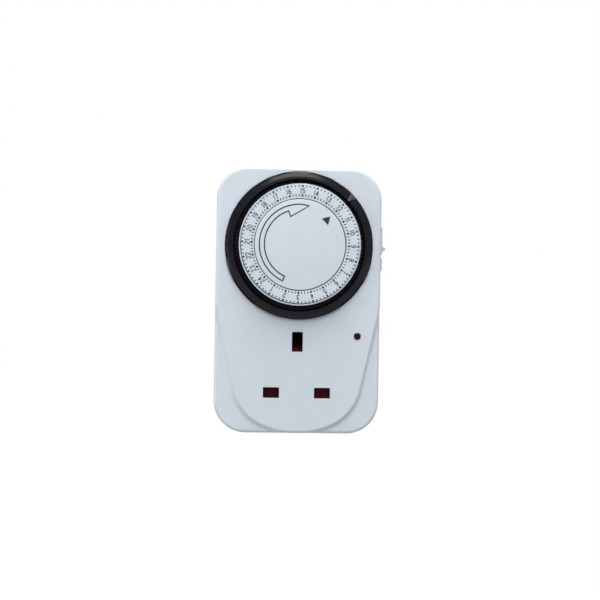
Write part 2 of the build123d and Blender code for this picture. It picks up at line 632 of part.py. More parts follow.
# ---------------------------------------------------------------- shutter
def shutter():
    """Red safety shutter: a blade over the two lower slots and a ramp behind the earth slot."""
    top = ROW_Z + SLOT_SHORT / 2 + SHUTTER_LAP
    solid = block(-SHUTTER_HALF_WIDTH, SHUTTER_HALF_WIDTH, SHUTTER_UNDER, SHUTTER_TOP, SHUTTER_LOW, top)
    ramp_low = EARTH_Z - EARTH_SLOT / 2 - SHUTTER_LAP
    half = SHUTTER_STEM_WIDTH / 2
    solid += block(-half, half, SHUTTER_UNDER, SHUTTER_TOP, top - 1, ramp_low)
    side_view = Plane(origin=(0, 0, 0), x_dir=(0, 0, 1), z_dir=(1, 0, 0))
    outline = [
        (ramp_low - SHUTTER_THICK, SHUTTER_UNDER),
        (ramp_low - SHUTTER_THICK, SHUTTER_TOP),
        (ramp_low + SHUTTER_LAP, SHUTTER_TOP),
        (EARTH_Z, SHUTTER_TOP - RAMP_REACH),
        (EARTH_Z, SHUTTER_TOP - RAMP_REACH - SHUTTER_THICK),
        (EARTH_Z - SHUTTER_THICK, SHUTTER_TOP - RAMP_REACH - SHUTTER_THICK),
    ]
    half = SLOT_SHORT / 2 + RAMP_LAP
    ramp = extrude(side_view * Polygon(*outline, align=None), half, both=True)
    return solid + ramp


def shutter_spring():
    """Flat zigzag return spring between the bottom wall and the shutter."""
    low = BODY_LOW + SIDE_WALL
    step = (SHUTTER_LOW - low - SPRING_WIRE) / SPRING_BENDS
    middle, half_wire = (SHUTTER_UNDER + SHUTTER_TOP) / 2, SPRING_WIRE / 2
    front, back = middle - half_wire, middle + half_wire
    half = SPRING_HALF_WIDTH
    spring = block(-half, half, front, back, low, low + SPRING_WIRE)
    for bend in range(1, SPRING_BENDS + 1):
        z = low + bend * step
        end = half if bend % 2 else SPRING_WIRE - half
        spring += block(-half, half, front, back, z, z + SPRING_WIRE)
        spring += block(end - SPRING_WIRE, end, front, back, z - step, z + SPRING_WIRE)
    return spring


# ---------------------------------------------------------------- dial
def dial_bezel():
    """Fixed black ring round the dial, with a collar in the well and notches in its outer edge."""
    outer, inner = BEZEL_RADIUS, BEZEL_INNER_RADIUS
    face, top = BODY_DEPTH, BODY_DEPTH + BEZEL_INNER_HEIGHT
    ring = turned(
        [
            (inner, face),
            (inner, top),
            (inner + BEZEL_CROWN, top),
            (outer, face + BEZEL_OUTER_HEIGHT),
            (outer, face),
        ]
    )
    collar = RegularPolygon(inner + BEZEL_COLLAR_THICK, HIDDEN_SIDES) - Circle(inner)
    ring += prism(collar, face - BEZEL_COLLAR_DEPTH, face + FIT, 0, DIAL_Z)
    reach, floor = outer - NOTCH_RADIAL, face + NOTCH_FLOOR
    notch = [(reach, floor), (outer + 1, floor), (outer + 1, top), (reach, top)]
    for low, high in NOTCH_ARCS:
        cut = turned(notch, arc=high - low)
        for start in (low, -high):
            ring -= clockwise(cut, start + (high - low) - RIGHT_TO_TOP)
    return ring + time_pointer()


def time_pointer():
    """Raised wedge on the bezel that points inwards at the time."""
    base, half = BEZEL_RADIUS - FIT, POINTER_WIDTH / 2
    tip = BEZEL_INNER_RADIUS + FIT
    low = BODY_DEPTH + BEZEL_OUTER_HEIGHT / 2
    view = Polygon((-half, base), (half, base), (0, tip), align=None)
    wedge = prism(view, low, BODY_DEPTH + BEZEL_INNER_HEIGHT + POINTER_RISE, 0, DIAL_Z)
    slope = turned(
        [
            (tip - 1, low - 1),
            (tip - 1, BODY_DEPTH + BEZEL_INNER_HEIGHT + POINTER_RISE),
            (tip, BODY_DEPTH + BEZEL_INNER_HEIGHT + POINTER_RISE),
            (BEZEL_RADIUS + 1, BODY_DEPTH + BEZEL_OUTER_HEIGHT),
            (BEZEL_RADIUS + 1, low - 1),
        ]
    )
    return clockwise(wedge & slope, POINTER_ANGLE)


def scale_drum():
    """White drum whose face carries the 24-hour scale; its wall stands on the carrier's."""
    rim_top = SCALE_TOP - SCALE_PLATE_RISE
    drum = prism(Circle(SCALE_RADIUS), COMB_TOP, rim_top, 0, DIAL_Z)
    drum += prism(Circle(SCALE_RADIUS - SCALE_PLATE_INSET), rim_top, SCALE_TOP, 0, DIAL_Z)
    hollow = RegularPolygon(SCALE_RADIUS - DRUM_WALL, HIDDEN_SIDES)
    drum -= prism(hollow, COMB_TOP, SCALE_UNDER, 0, DIAL_Z)
    return drum - prism(Circle(SCALE_INNER_RADIUS), SCALE_UNDER, SCALE_TOP, 0, DIAL_Z)


def centre_disc():
    """Fixed disc in the middle of the dial, on a stem with a square plug for the post."""
    disc = prism(Circle(DISC_RADIUS), SCALE_UNDER, SCALE_TOP, 0, DIAL_Z)
    disc += prism(RegularPolygon(DISC_STEM_RADIUS, SMALL_SIDES), POST_TOP, SCALE_UNDER, 0, DIAL_Z)
    across = PLUG_ACROSS - 2 * RUNNING
    return disc + prism(Rectangle(across, across), POST_TOP - PLUG_LENGTH, POST_TOP, 0, DIAL_Z)


def hexagon(across):
    """Hexagon by its size across flats."""
    return RegularPolygon(across / sqrt(3), 6)


def dial_gear():
    """Hub of the dial, turning on the post, with the gear and a keyed boss for the carrier."""
    hub_top = POST_TOP - HUB_TOP_GAP
    teeth = tooth_outline(DIAL_TEETH, DIAL_MODULE, CLUTCH_ANGLE)
    gear = prism(teeth, GEAR_LOW, GEAR_TOP, 0, DIAL_Z)
    gear += prism(hexagon(HEX_BOSS_ACROSS), GEAR_LOW, GEAR_TOP + HEX_BOSS_RISE, 0, DIAL_Z)
    gear += prism(RegularPolygon(HUB_RADIUS, SMALL_SIDES), GEAR_LOW, hub_top, 0, DIAL_Z)
    return gear - prism(Circle(POST_RADIUS + RUNNING), GEAR_LOW, hub_top, 0, DIAL_Z)


def comb_outline():
    """Ring of ribs: between each two ribs is the slit of one tappet."""
    half_slit = TAPPET_WIDTH / 2 + SLIT_CLEARANCE
    step = 2 * pi / TAPPET_COUNT
    turn = radians(RIGHT_TO_TOP - POINTER_ANGLE - DIAL_SETTING)
    at_root, at_tip = asin(half_slit / COMB_ROOT_RADIUS), asin(half_slit / COMB_RADIUS)
    points = []
    for slit in range(TAPPET_COUNT):
        middle = (slit + 0.5) * step + turn
        for radius, angle in (
            (COMB_RADIUS, middle - at_tip),
            (COMB_ROOT_RADIUS, middle - at_root),
            (COMB_ROOT_RADIUS, middle + at_root),
            (COMB_RADIUS, middle + at_tip),
        ):
            points.append((radius * cos(angle), radius * sin(angle)))
    return Polygon(*points, align=None)


def tappet_carrier():
    """Black carrier with a slit for each tappet, keyed on the dial gear."""
    wall_inner = COMB_ROOT_RADIUS - CARRIER_INNER_WALL
    carrier = prism(comb_outline(), CARRIER_LOW, COMB_TOP, 0, DIAL_Z)
    well = RegularPolygon(wall_inner, HIDDEN_SIDES)
    carrier -= prism(well, CARRIER_LOW + CARRIER_WEB, COMB_TOP, 0, DIAL_Z)
    return carrier - prism(hexagon(HEX_BOSS_ACROSS + 2 * FIT), CARRIER_LOW, COMB_TOP, 0, DIAL_Z)


def tappet():
    """One tappet, drawn on the right of the dial: a stem with a head that overhangs outwards."""
    outline = Polygon(
        (TAPPET_INNER_RADIUS, FOOT_LOW),
        (STEM_RADIUS, FOOT_LOW),
        (STEM_RADIUS, HEAD_LOW),
        (TAPPET_OUTER_RADIUS, HEAD_LOW),
        (TAPPET_OUTER_RADIUS, TAPPET_TOP - TAPPET_BEVEL),
        (TAPPET_OUTER_RADIUS - TAPPET_BEVEL, TAPPET_TOP),
        (TAPPET_INNER_RADIUS, TAPPET_TOP),
        align=None,
    )
    side_view = Plane(origin=(0, 0, DIAL_Z), x_dir=(1, 0, 0), z_dir=(0, 0, -1))
    return extrude(side_view * outline, TAPPET_WIDTH / 2, both=True)


def hour_of_tappets(hour):
    """The four tappets of the hour that follows a number; the numbers run anticlockwise."""
    share = TAPPET_COUNT // HOURS
    step = 360 / TAPPET_COUNT
    noon = POINTER_ANGLE + DIAL_SETTING  # the 12 stands just past the pointer
    first = noon + (12 - hour) * 360 / HOURS
    one = tappet()
    return [clockwise(one, first - (quarter + 0.5) * step - RIGHT_TO_TOP) for quarter in range(share)]


# ---------------------------------------------------------------- motor and gears
def motor_can():
    """Pressed steel cup of the synchronous motor."""
    inner = MOTOR_RADIUS - MOTOR_SHEET
    cup = prism(RegularPolygon(MOTOR_RADIUS, HIDDEN_SIDES), COVER_FLOOR, PLATE_LOW, MOTOR_X, MOTOR_Z)
    hollow = RegularPolygon(inner, HIDDEN_SIDES)
    return cup - prism(hollow, COVER_FLOOR + MOTOR_SHEET, PLATE_LOW, MOTOR_X, MOTOR_Z)


def motor_coil():
    """Wound ring inside the can."""
    outer = MOTOR_RADIUS - MOTOR_SHEET - FIT
    ring = RegularPolygon(outer, HIDDEN_SIDES) - RegularPolygon(COIL_INNER_RADIUS, HIDDEN_SIDES)
    return prism(ring, COVER_FLOOR + MOTOR_SHEET, PLATE_LOW - FIT, MOTOR_X, MOTOR_Z)


def motor_leads():
    """Two insulated leads: from the motor to the neutral pin and to the supply strip."""
    half, low = LEAD_WIDTH / 2, PIN_HEAD_TOP
    high = low + LEAD_WIDTH
    reach = MOTOR_RADIUS + FIT

    def can_edge(x):
        return MOTOR_Z - sqrt(reach * reach - (abs(x) - half) ** 2)

    neutral_low = ROW_Z + PIN_THICK / 2
    neutral = block(
        NEUTRAL_LEAD_X - half, NEUTRAL_LEAD_X + half, low, high, neutral_low, can_edge(NEUTRAL_LEAD_X) - FIT
    )
    turn_z = EARTH_Z + LIVE_LEAD_END - LEAD_WIDTH
    live = block(LIVE_LEAD_X - half, LIVE_LEAD_X + half, low, high, turn_z, can_edge(LIVE_LEAD_X) - FIT)
    strip_edge = LEVER_X - LEVER_WIDTH / 2
    return [neutral, live + block(LIVE_LEAD_X - half, strip_edge, low, high, turn_z, turn_z + LEAD_WIDTH)]


def motor_rotor():
    """Magnet drum that spins on the fixed shaft."""
    ring = RegularPolygon(ROTOR_RADIUS, HIDDEN_SIDES) - Circle(ROTOR_SHAFT_RADIUS + RUNNING)
    low = COVER_FLOOR + MOTOR_SHEET + ROTOR_AIR
    return prism(ring, low, PLATE_LOW - ROTOR_AIR, MOTOR_X, MOTOR_Z)


def output_place():
    """Axis of the motor's output pinion: in mesh with the clutch wheel."""
    span = (CLUTCH_TEETH + PINION_TEETH) * CLUTCH_MODULE / 2
    toward = atan2(MOTOR_Z - CLUTCH_Z, MOTOR_X - CLUTCH_X)
    return CLUTCH_X + span * cos(toward), CLUTCH_Z + span * sin(toward), degrees(toward)


def gear_plate():
    """Plate that closes the can and carries the clutch shaft on its nose."""
    across = hypot(CLUTCH_X - MOTOR_X, CLUTCH_Z - MOTOR_Z)
    lean = degrees(atan2(CLUTCH_Z - MOTOR_Z, CLUTCH_X - MOTOR_X))
    arm = Pos(across / 2, 0) * Rectangle(across, 2 * PLATE_NOSE_RADIUS)
    nose = Pos(across, 0) * RegularPolygon(PLATE_NOSE_RADIUS, SMALL_SIDES)
    lid = RegularPolygon(MOTOR_RADIUS + PLATE_OVERHANG, HIDDEN_SIDES)
    outline = lid + Rot(0, 0, lean) * (arm + nose)
    plate = prism(outline, PLATE_LOW, PLATE_TOP, MOTOR_X, MOTOR_Z)
    plate -= prism(Circle(CLUTCH_SHAFT_RADIUS), PLATE_LOW, PLATE_TOP, CLUTCH_X, CLUTCH_Z)
    x, z, _ = output_place()
    return plate - prism(Circle(OUTPUT_SHAFT_RADIUS + RUNNING), PLATE_LOW, PLATE_TOP, x, z)


def gear_shafts():
    """Steel shafts of the rotor and of the clutch wheel."""
    rotor = prism(Circle(ROTOR_SHAFT_RADIUS), COVER_FLOOR + MOTOR_SHEET, PLATE_LOW, MOTOR_X, MOTOR_Z)
    clutch = prism(Circle(CLUTCH_SHAFT_RADIUS), PLATE_LOW, GEAR_TOP, CLUTCH_X, CLUTCH_Z)
    return [rotor, clutch]


def clutch_wheel():
    """Wheel driven by the motor; it turns the clutch pinion through a friction face."""
    toward = output_place()[2]
    teeth = tooth_outline(CLUTCH_TEETH, CLUTCH_MODULE, toward)
    wheel = prism(teeth, WHEEL_LOW, WHEEL_TOP, CLUTCH_X, CLUTCH_Z)
    hub = RegularPolygon(CLUTCH_HUB_RADIUS, SMALL_SIDES)
    wheel += prism(hub, PLATE_TOP + AXIAL_GAP, WHEEL_TOP, CLUTCH_X, CLUTCH_Z)
    bore = Circle(CLUTCH_SHAFT_RADIUS + RUNNING)
    return wheel - prism(bore, PLATE_TOP, WHEEL_TOP, CLUTCH_X, CLUTCH_Z)


def clutch_pinion():
    """Pinion that drives the dial gear through the window in the well floor."""
    half_tooth = 180 / PINION_TEETH
    turn = CLUTCH_ANGLE + 180 + half_tooth
    teeth = tooth_outline(PINION_TEETH, DIAL_MODULE, turn)
    low = GEAR_LOW + AXIAL_GAP / 2
    pinion = prism(teeth, low, GEAR_TOP - AXIAL_GAP / 2, CLUTCH_X, CLUTCH_Z)
    stem = RegularPolygon(PINION_STEM_RADIUS, SMALL_SIDES)
    pinion += prism(stem, WHEEL_TOP + AXIAL_GAP / 3, low, CLUTCH_X, CLUTCH_Z)
    bore = Circle(CLUTCH_SHAFT_RADIUS + RUNNING)
    return pinion - prism(bore, WHEEL_TOP, GEAR_TOP, CLUTCH_X, CLUTCH_Z)


def output_pinion():
    """The motor's output pinion with its shaft in the gear plate."""
    x, z, toward = output_place()
    half_tooth = 180 / PINION_TEETH
    teeth = tooth_outline(PINION_TEETH, CLUTCH_MODULE, toward + 180 + half_tooth)
    reach = AXIAL_GAP / 2
    pinion = prism(teeth, WHEEL_LOW - reach, WHEEL_TOP + reach, x, z)
    stem = RegularPolygon(PINION_STEM_RADIUS, SMALL_SIDES)
    pinion += prism(stem, PLATE_TOP + AXIAL_GAP, WHEEL_LOW, x, z)
    return pinion + prism(Circle(OUTPUT_SHAFT_RADIUS), PLATE_LOW + FIT, PLATE_TOP + AXIAL_GAP, x, z)


# ---------------------------------------------------------------- timed switch
def cam_lever():
    """Rocker: its nose stands under the pushed tappets, its tail lifts the moving contact."""
    half = LEVER_WIDTH / 2
    nose = LEVER_NOSE / 2
    low = PIVOT_DEPTH - LEVER_THICK / 2
    lever = block(LEVER_X - half, LEVER_X + half, low, LEVER_TOP, TAIL_Z - half, NOSE_Z + half)
    nose_top = FLOOR_TOP + TAPPET_FLOOR_GAP - NOSE_GAP
    lever += block(LEVER_X - nose, LEVER_X + nose, low, nose_top, NOSE_Z - nose, NOSE_Z + nose)
    trunnion = Pos(LEVER_X, -PIVOT_DEPTH, PIVOT_Z) * Rot(0, 90, 0)
    return lever + trunnion * Cylinder(TRUNNION_RADIUS, LEVER_WIDTH + 2 * TRUNNION_LENGTH)


def contact_leaf():
    """Sprung moving contact with a silver rivet."""
    half = LEVER_WIDTH / 2
    middle = (LEAF_LOW + LEAF_TOP) / 2
    leaf = block(LEVER_X - half, LEVER_X + half, LEAF_LOW, LEAF_TOP, HINGE_Z, HINGE_Z + LEAF_LENGTH)
    knuckle = Pos(LEVER_X, -middle, HINGE_Z) * Rot(0, 90, 0) * Cylinder(KNUCKLE_RADIUS, LEVER_WIDTH)
    head = RegularPolygon(RIVET_RADIUS, SMALL_SIDES)
    rivet = prism(head, LEAF_TOP, LEAF_TOP + RIVET_HEIGHT, LEVER_X, RIVET_Z)
    return leaf + knuckle + rivet


def override_pad_places():
    """Bottom and top of the two override contacts: feed above, load below."""
    feed_high = SWITCH_Z - BRIDGE_LENGTH / 2 + SIDE_GAP
    feed_low = feed_high - SWITCH_TRAVEL
    load_high = feed_low - 1.5
    return feed_low, feed_high, load_high - SWITCH_TRAVEL, load_high


def supply_strip():
    """Brass strip from the live pin to the moving contact and to the override switch."""
    half = LEVER_WIDTH / 2
    low, high = PIN_HEAD_TOP, PIN_HEAD_TOP + BRASS
    left, right = LEVER_X - half, LEVER_X + half
    hook = HINGE_Z - KNUCKLE_RADIUS - FIT
    turn_z = ROW_Z + CLIP_HALF
    strip = block(LINE_X - half, LINE_X + half, low, high, ROW_Z - half, turn_z + LEVER_WIDTH)
    strip += block(LINE_X - half, right, low, high, turn_z, turn_z + LEVER_WIDTH)
    strip += block(left, right, low, high, turn_z, hook)
    strip += block(left, right, low, LEAF_TOP, hook - BRASS, hook)
    feed_low, feed_high, _, _ = override_pad_places()
    pad = pad_x()
    link_low = high + BRASS * 3
    strip += block(left, pad, link_low, link_low + BRASS, hook - LEVER_WIDTH / 2, hook)
    strip += block(pad - BRASS, pad, link_low, link_low + 2, hook - LEVER_WIDTH / 2, feed_high)
    strip += block(pad - BRASS, pad, link_low, SLIDER_LOW + LEVER_WIDTH, feed_low, feed_high)
    return strip


def pad_x():
    """Face of the override contacts that the bridge wipes."""
    return SLIDER_OUTER_X - SLIDER_PLATE - 2 * SIDE_GAP - BRIDGE_THICK - 2 * RUNNING


def load_run_x():
    """Middle of the load strip, between the leaf and the override contacts."""
    return (LEVER_X + LEVER_WIDTH / 2 + pad_x() - BRASS) / 2 + BRASS


def fixed_contact():
    """Fixed contact over the leaf's rivet, with its strip down to the live clip."""
    half = LEVER_WIDTH / 2
    run = load_run_x()
    clip_base = PIN_HEAD_TOP + LIVE_CLIP_RISE + CLIP_SHEET
    low, high = RIVET_Z - half, RIVET_Z + half
    run_low = SLIDER_LOW - STRIP_BELOW_SLIDER
    strip = block(LEVER_X - half, run + BRASS, FIXED_LOW, FIXED_LOW + BRASS, low, high)
    strip += block(run, run + BRASS, run_low, FIXED_LOW + BRASS, low, high)
    strip += block(run, run + BRASS, run_low, run_low + LEVER_WIDTH, ROW_Z - half, high)
    strip += block(run, run + BRASS, clip_base, run_low + LEVER_WIDTH, ROW_Z - half, ROW_Z + half)
    edge = LINE_X + CLIP_WIDTH / 2 + CLIP_SHEET
    strip += block(edge, run + BRASS, clip_base, clip_base + BRASS, ROW_Z - half, ROW_Z + half)
    head = RegularPolygon(RIVET_RADIUS, SMALL_SIDES)
    strip += prism(head, FIXED_LOW - RIVET_HEIGHT, FIXED_LOW, LEVER_X, RIVET_Z)
    _, _, load_low, load_high = override_pad_places()
    pad = pad_x()
    strip += block(run, pad, SLIDER_LOW, SLIDER_LOW + 2, load_low, load_low + BRASS)
    return strip + block(pad - BRASS, pad, SLIDER_LOW, SLIDER_LOW + LEVER_WIDTH, load_low, load_high)


# ---------------------------------------------------------------- override switch
def override_slider():
    """Side slider: a ribbed thumb nub outside and a plate that carries the bridge inside."""
    half_knob, half_root = KNOB_WIDTH / 2, KNOB_ROOT / 2
    inner = SLIDER_OUTER_X - SLIDER_PLATE
    tip_x = BODY_WIDTH / 2 + KNOB_PROUD
    outline = [
        (SLIDER_OUTER_X - SLIDER_PLATE / 2, -half_root),
        (BODY_WIDTH / 2 + SURROUND_PROUD, -half_root),
        (tip_x, -KNOB_TIP / 2),
        (tip_x, KNOB_TIP / 2),
        (BODY_WIDTH / 2 + SURROUND_PROUD, half_root),
        (SLIDER_OUTER_X - SLIDER_PLATE / 2, half_root),
    ]
    knob = prism(
        Polygon(*outline, align=None), SWITCH_DEPTH - half_knob, SWITCH_DEPTH + half_knob, 0, SWITCH_Z
    )
    plate = block(
        inner,
        SLIDER_OUTER_X,
        SLIDER_LOW,
        SWITCH_DEPTH + half_knob,
        SWITCH_Z - SLIDER_HALF_LENGTH,
        SWITCH_Z + SLIDER_HALF_LENGTH,
    )
    return knob + plate


def override_bridge():
    """Brass bridge on the slider that joins the two override contacts when it is down."""
    inner = SLIDER_OUTER_X - SLIDER_PLATE
    wipe = pad_x() + 2 * RUNNING
    half = BRIDGE_LENGTH / 2
    middle = SWITCH_Z - half
    high = SLIDER_LOW + LEVER_WIDTH
    leaf = block(wipe, wipe + BRIDGE_THICK, SLIDER_LOW, high, middle - half, middle + half)
    foot = block(wipe, inner, SLIDER_LOW, SLIDER_LOW + 1, middle - half / 2, middle + half / 2)
    return leaf + foot


# ---------------------------------------------------------------- neon
def neon_lens():
    """Red dome of the indicator with a flange behind the face."""
    low, top = CEILING - LENS_FLANGE, BODY_DEPTH + LENS_DOME
    lens = prism(Circle(LENS_RADIUS), low, top, LENS_X, LENS_Z)
    lens = chamfer(flat_edges(lens, top), LENS_DOME * 0.8)
    flange = RegularPolygon(LENS_RADIUS + LENS_FLANGE, SMALL_SIDES)
    return lens + prism(flange, low, CEILING, LENS_X, LENS_Z)


def lamp_low():
    """Depth of the lamp's foot."""
    return CEILING - LENS_FLANGE - AXIAL_GAP - LAMP_LENGTH


def neon_lamp():
    """Neon lamp behind the lens, with one lead to the load strip."""
    low, run = lamp_low(), load_run_x() + BRASS / 2
    half = LEAD_THICK / 2
    bulb = RegularPolygon(LAMP_RADIUS, SMALL_SIDES)
    lamp = prism(bulb, low, low + LAMP_LENGTH, LENS_X, LENS_Z)
    left, right = sorted((run, LENS_X))
    foot = block(left - half, right + half, low - LEAD_THICK, low, LENS_Z, LENS_Z + LEAD_THICK)
    lead_end = SLIDER_LOW - STRIP_BELOW_SLIDER + LEVER_WIDTH
    return lamp + foot + block(run - half, run + half, lead_end, low, LENS_Z, LENS_Z + LEAD_THICK)


def neon_resistor():
    """Series resistor, with leads to the lamp's foot and to the neutral clip."""
    low, half = lamp_low(), LEAD_THICK / 2
    x = LENS_X - LAMP_RADIUS + half
    depth = low - RESISTOR_RADIUS * 2
    top_z = LENS_Z - LAMP_RADIUS
    cross_z = (EARTH_Z - EARTH_CLIP_WIDTH / 2 + ROW_Z + CLIP_HALF) / 2
    body = Plane(origin=(x, -depth, top_z - RESISTOR_LENGTH), z_dir=(0, 0, 1))
    resistor = extrude(body * RegularPolygon(RESISTOR_RADIUS, SMALL_SIDES), RESISTOR_LENGTH)
    back, front = depth - half, depth + half
    resistor += block(x - half, x + half, back, front, cross_z, LENS_Z)
    resistor += block(x - half, x + half, back, low, LENS_Z - LEAD_THICK, LENS_Z)
    resistor += block(-LINE_X - half, x + half, back, front, cross_z - half, cross_z + half)
    return resistor + block(-LINE_X - half, -LINE_X + half, back, front, ROW_Z + CLIP_HALF, cross_z)


# ---------------------------------------------------------------- screws
def cover_screws():
    """Four pan-head screws in the cover's counterbores."""
    screws = []
    for x, z in screw_places():
        head_low = SCREW_SEAT_DEPTH - SCREW_HEAD_HEIGHT
        screw = prism(RegularPolygon(SCREW_HEAD_RADIUS, HIDDEN_SIDES), head_low, SCREW_SEAT_DEPTH, x, z)
        shank = RegularPolygon(SCREW_RADIUS, SMALL_SIDES)
        screw += prism(shank, SCREW_SEAT_DEPTH, SCREW_SEAT_DEPTH + SCREW_LENGTH, x, z)
        screws.append(screw)
    return screws


# ---------------------------------------------------------------- all pieces
def pieces():
    """Every piece by its name; a list is a group of separate solids."""
    made = {
        "front_housing": front_housing(),
        "rear_cover": rear_cover(),
        "cover_screws": cover_screws(),
        "neutral_pin": pin(POWER_PIN_WIDTH, PIN_THICK, POWER_PIN_LENGTH, -LINE_X, ROW_Z, True),
        "live_pin": pin(POWER_PIN_WIDTH, PIN_THICK, POWER_PIN_LENGTH, LINE_X, ROW_Z, True),
        "earth_pin": pin(PIN_THICK, EARTH_PIN_HEIGHT, EARTH_PIN_LENGTH, 0, EARTH_Z, False),
        "pin_sleeves": pin_sleeves(),
        "neutral_contact": upright_clip(PIN_HEAD_TOP, CLIP_WIDTH, -LINE_X, ROW_Z),
        "live_contact": live_contact(),
        "earth_contact": Pos(0, 0, EARTH_Z) * clip(PIN_HEAD_TOP, EARTH_CLIP_WIDTH, EARTH_CLIP_MOUTH),
        "shutter": shutter(),
        "shutter_spring": shutter_spring(),
        "dial_bezel": dial_bezel(),
        "scale_drum": scale_drum(),
        "tappet_carrier": tappet_carrier(),
        "dial_gear": dial_gear(),
        "centre_disc": centre_disc(),
        "motor_can": motor_can(),
        "motor_coil": motor_coil(),
        "motor_leads": motor_leads(),
        "motor_rotor": motor_rotor(),
        "gear_plate": gear_plate(),
        "gear_shafts": gear_shafts(),
        "output_pinion": output_pinion(),
        "clutch_wheel": clutch_wheel(),
        "clutch_pinion": clutch_pinion(),
        "cam_lever": cam_lever(),
        "contact_leaf": contact_leaf(),
        "supply_strip": supply_strip(),
        "fixed_contact": fixed_contact(),
        "override_slider": override_slider(),
        "override_bridge": override_bridge(),
        "neon_lens": neon_lens(),
        "neon_lamp": neon_lamp(),
        "neon_resistor": neon_resistor(),
    }
    for hour in range(1, HOURS + 1):
        made[f"tappets_hour_{hour:02d}"] = hour_of_tappets(hour)
    return made


os.makedirs("parts", exist_ok=True)
for name, shape in pieces().items():
    solids = [solid for item in (shape if isinstance(shape, list) else [shape]) for solid in item.solids()]
    export_step(solids[0] if len(solids) == 1 else Compound(solids), f"parts/{name}.step")
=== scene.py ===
"""Looks of a 24-hour plug-in timer switch.

White moulded housing with a raised tongue, a glossy black ring round the dial, ninety-six
push tappets, a turning scale drum, socket slots, and the plug pins behind. Sizes are in
millimetres; places are (x, depth in front of the wall face, z).
"""

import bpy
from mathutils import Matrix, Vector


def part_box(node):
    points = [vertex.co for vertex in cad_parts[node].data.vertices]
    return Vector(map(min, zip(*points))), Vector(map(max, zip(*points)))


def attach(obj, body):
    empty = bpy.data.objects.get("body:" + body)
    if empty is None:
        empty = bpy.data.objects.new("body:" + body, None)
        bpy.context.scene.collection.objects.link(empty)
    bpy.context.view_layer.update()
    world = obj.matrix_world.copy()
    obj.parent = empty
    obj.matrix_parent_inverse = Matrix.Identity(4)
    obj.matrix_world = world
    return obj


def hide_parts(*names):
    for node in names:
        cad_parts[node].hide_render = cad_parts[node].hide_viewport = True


bl_info = {
    "name": "Plug-in timer switch",
    "version": (1, 0, 0),
    "blender": (4, 5, 0),
    "location": "3D View > Sidebar > Timer",
    "description": "Builds the visible pieces of a 24-hour plug-in timer switch",
    "category": "Add Mesh",
}

from math import cos, pi, radians, sin, tan

import bmesh
import bpy
import numpy as np
from bpy.props import FloatProperty, FloatVectorProperty, IntProperty, PointerProperty
from mathutils import Matrix, Vector

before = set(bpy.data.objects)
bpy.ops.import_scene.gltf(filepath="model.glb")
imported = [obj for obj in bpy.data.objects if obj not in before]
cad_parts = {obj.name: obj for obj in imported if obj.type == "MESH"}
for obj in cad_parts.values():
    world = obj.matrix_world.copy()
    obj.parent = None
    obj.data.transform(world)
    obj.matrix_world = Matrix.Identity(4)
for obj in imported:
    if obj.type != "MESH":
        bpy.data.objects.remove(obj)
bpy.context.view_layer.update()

MM = 0.001
SHARP = radians(32)


def box_mm(node):
    """Lowest and highest corners of a node as (x, depth, z): depth grows towards the front."""
    low, high = (np.array(corner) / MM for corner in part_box(node))
    return np.array([low[0], -high[1], low[2]]), np.array([high[0], -low[1], high[2]])


COVER_LOW, COVER_HIGH = box_mm("rear_cover")
DRUM_LOW, DRUM_HIGH = box_mm("scale_drum")
BEZEL_LOW, BEZEL_HIGH = box_mm("dial_bezel")
LENS_LOW, LENS_HIGH = box_mm("neon_lens")
LENS_X, _, LENS_Z = (LENS_LOW + LENS_HIGH) / 2
LENS_RADIUS = 1.55  # of its hole in the face

HALF_WIDTH = COVER_HIGH[0]
MIDDLE_Z = (COVER_LOW[2] + COVER_HIGH[2]) / 2
HALF_HEIGHT = COVER_HIGH[2] - MIDDLE_Z
SEAM = COVER_HIGH[1]
DIAL_Z = (DRUM_LOW[2] + DRUM_HIGH[2]) / 2
DRUM_RADIUS = DRUM_HIGH[0]
DRUM_TOP = DRUM_HIGH[1]
DRUM_FOOT = DRUM_LOW[1]
BEZEL_RADIUS = BEZEL_HIGH[0]
FACE = 36.0
CORNER = 14.0  # radius of the housing's corners in the front view
WALL = 2.0
CEILING = 33.0  # underside of the face
STEP = 1.4  # from the raised tongue down to the rest of the face
WELL_RADIUS = 30.6  # of the dial's well
WELL_WALL = 2.0
WELL_FLOOR = 22.0
WELL_UNDER = 20.4
WINDOW_RADIUS = 4.1  # of the clutch's window in the well's floor
WINDOW_OFFSET = 14.849  # of that window, left of and below the dial's axis
NOSE_OFFSET = 19.27  # of the lever nose's hole, right of and above the dial's axis
POST_RADIUS = 4.0
POST_TOP = 38.2
LINE_X = 11.115
ROW_Z = -11.115
EARTH_Z = 11.115
SLOT_LONG = 7.08  # of a live or neutral slot
SLOT_SHORT = 4.75
EARTH_SLOT = 8.7
SWITCH_Z = 52.685
SWITCH_DEPTH = 25.5
SWITCH_HALF = 2.45  # half the width of the side switch's slot
DISC_RADIUS = 19.5
DISC_UNDER = 42.2
DISC_GROOVE = 0.4
PLATE_RADIUS = 25.42  # printed plate on the drum
PLATE_SHIFT = (0.11, 0.14)  # of the plate in the drum's recess, right and up
HOLE_SHIFT = (0.08, -0.05)  # of the plate's hole round the disc
RECESS = 25.66  # radius of the recess that holds the plate
LIP_DROP = 0.35  # of the drum's lip below the plate
POINTER_ANGLE = 45.0
WEDGE_ANGLE = 46.6  # middle of the pointer wedge
DIAL_SETTING = 1.45  # degrees that the dial's twelve stands past the pointer
QUARTER = 3.75  # degrees to a quarter of an hour
NOTCHES = ((6.5, 21.0), (27.0, 38.0), (81.0, 101.0), (118.0, 144.0))  # degrees from the ring's top
SKIN = 0.04  # printed faces stand this much behind the drum's full height
INK = 0.02  # half the thickness of the print
NUMBER_RADIUS = 22.9
TICK_ROWS = ((24.55, 25.36), (20.45, 21.4))  # radii of the outer and the inner ticks
TICK_HALF = 0.21  # half the width of a tick; on the hour it is twice as wide
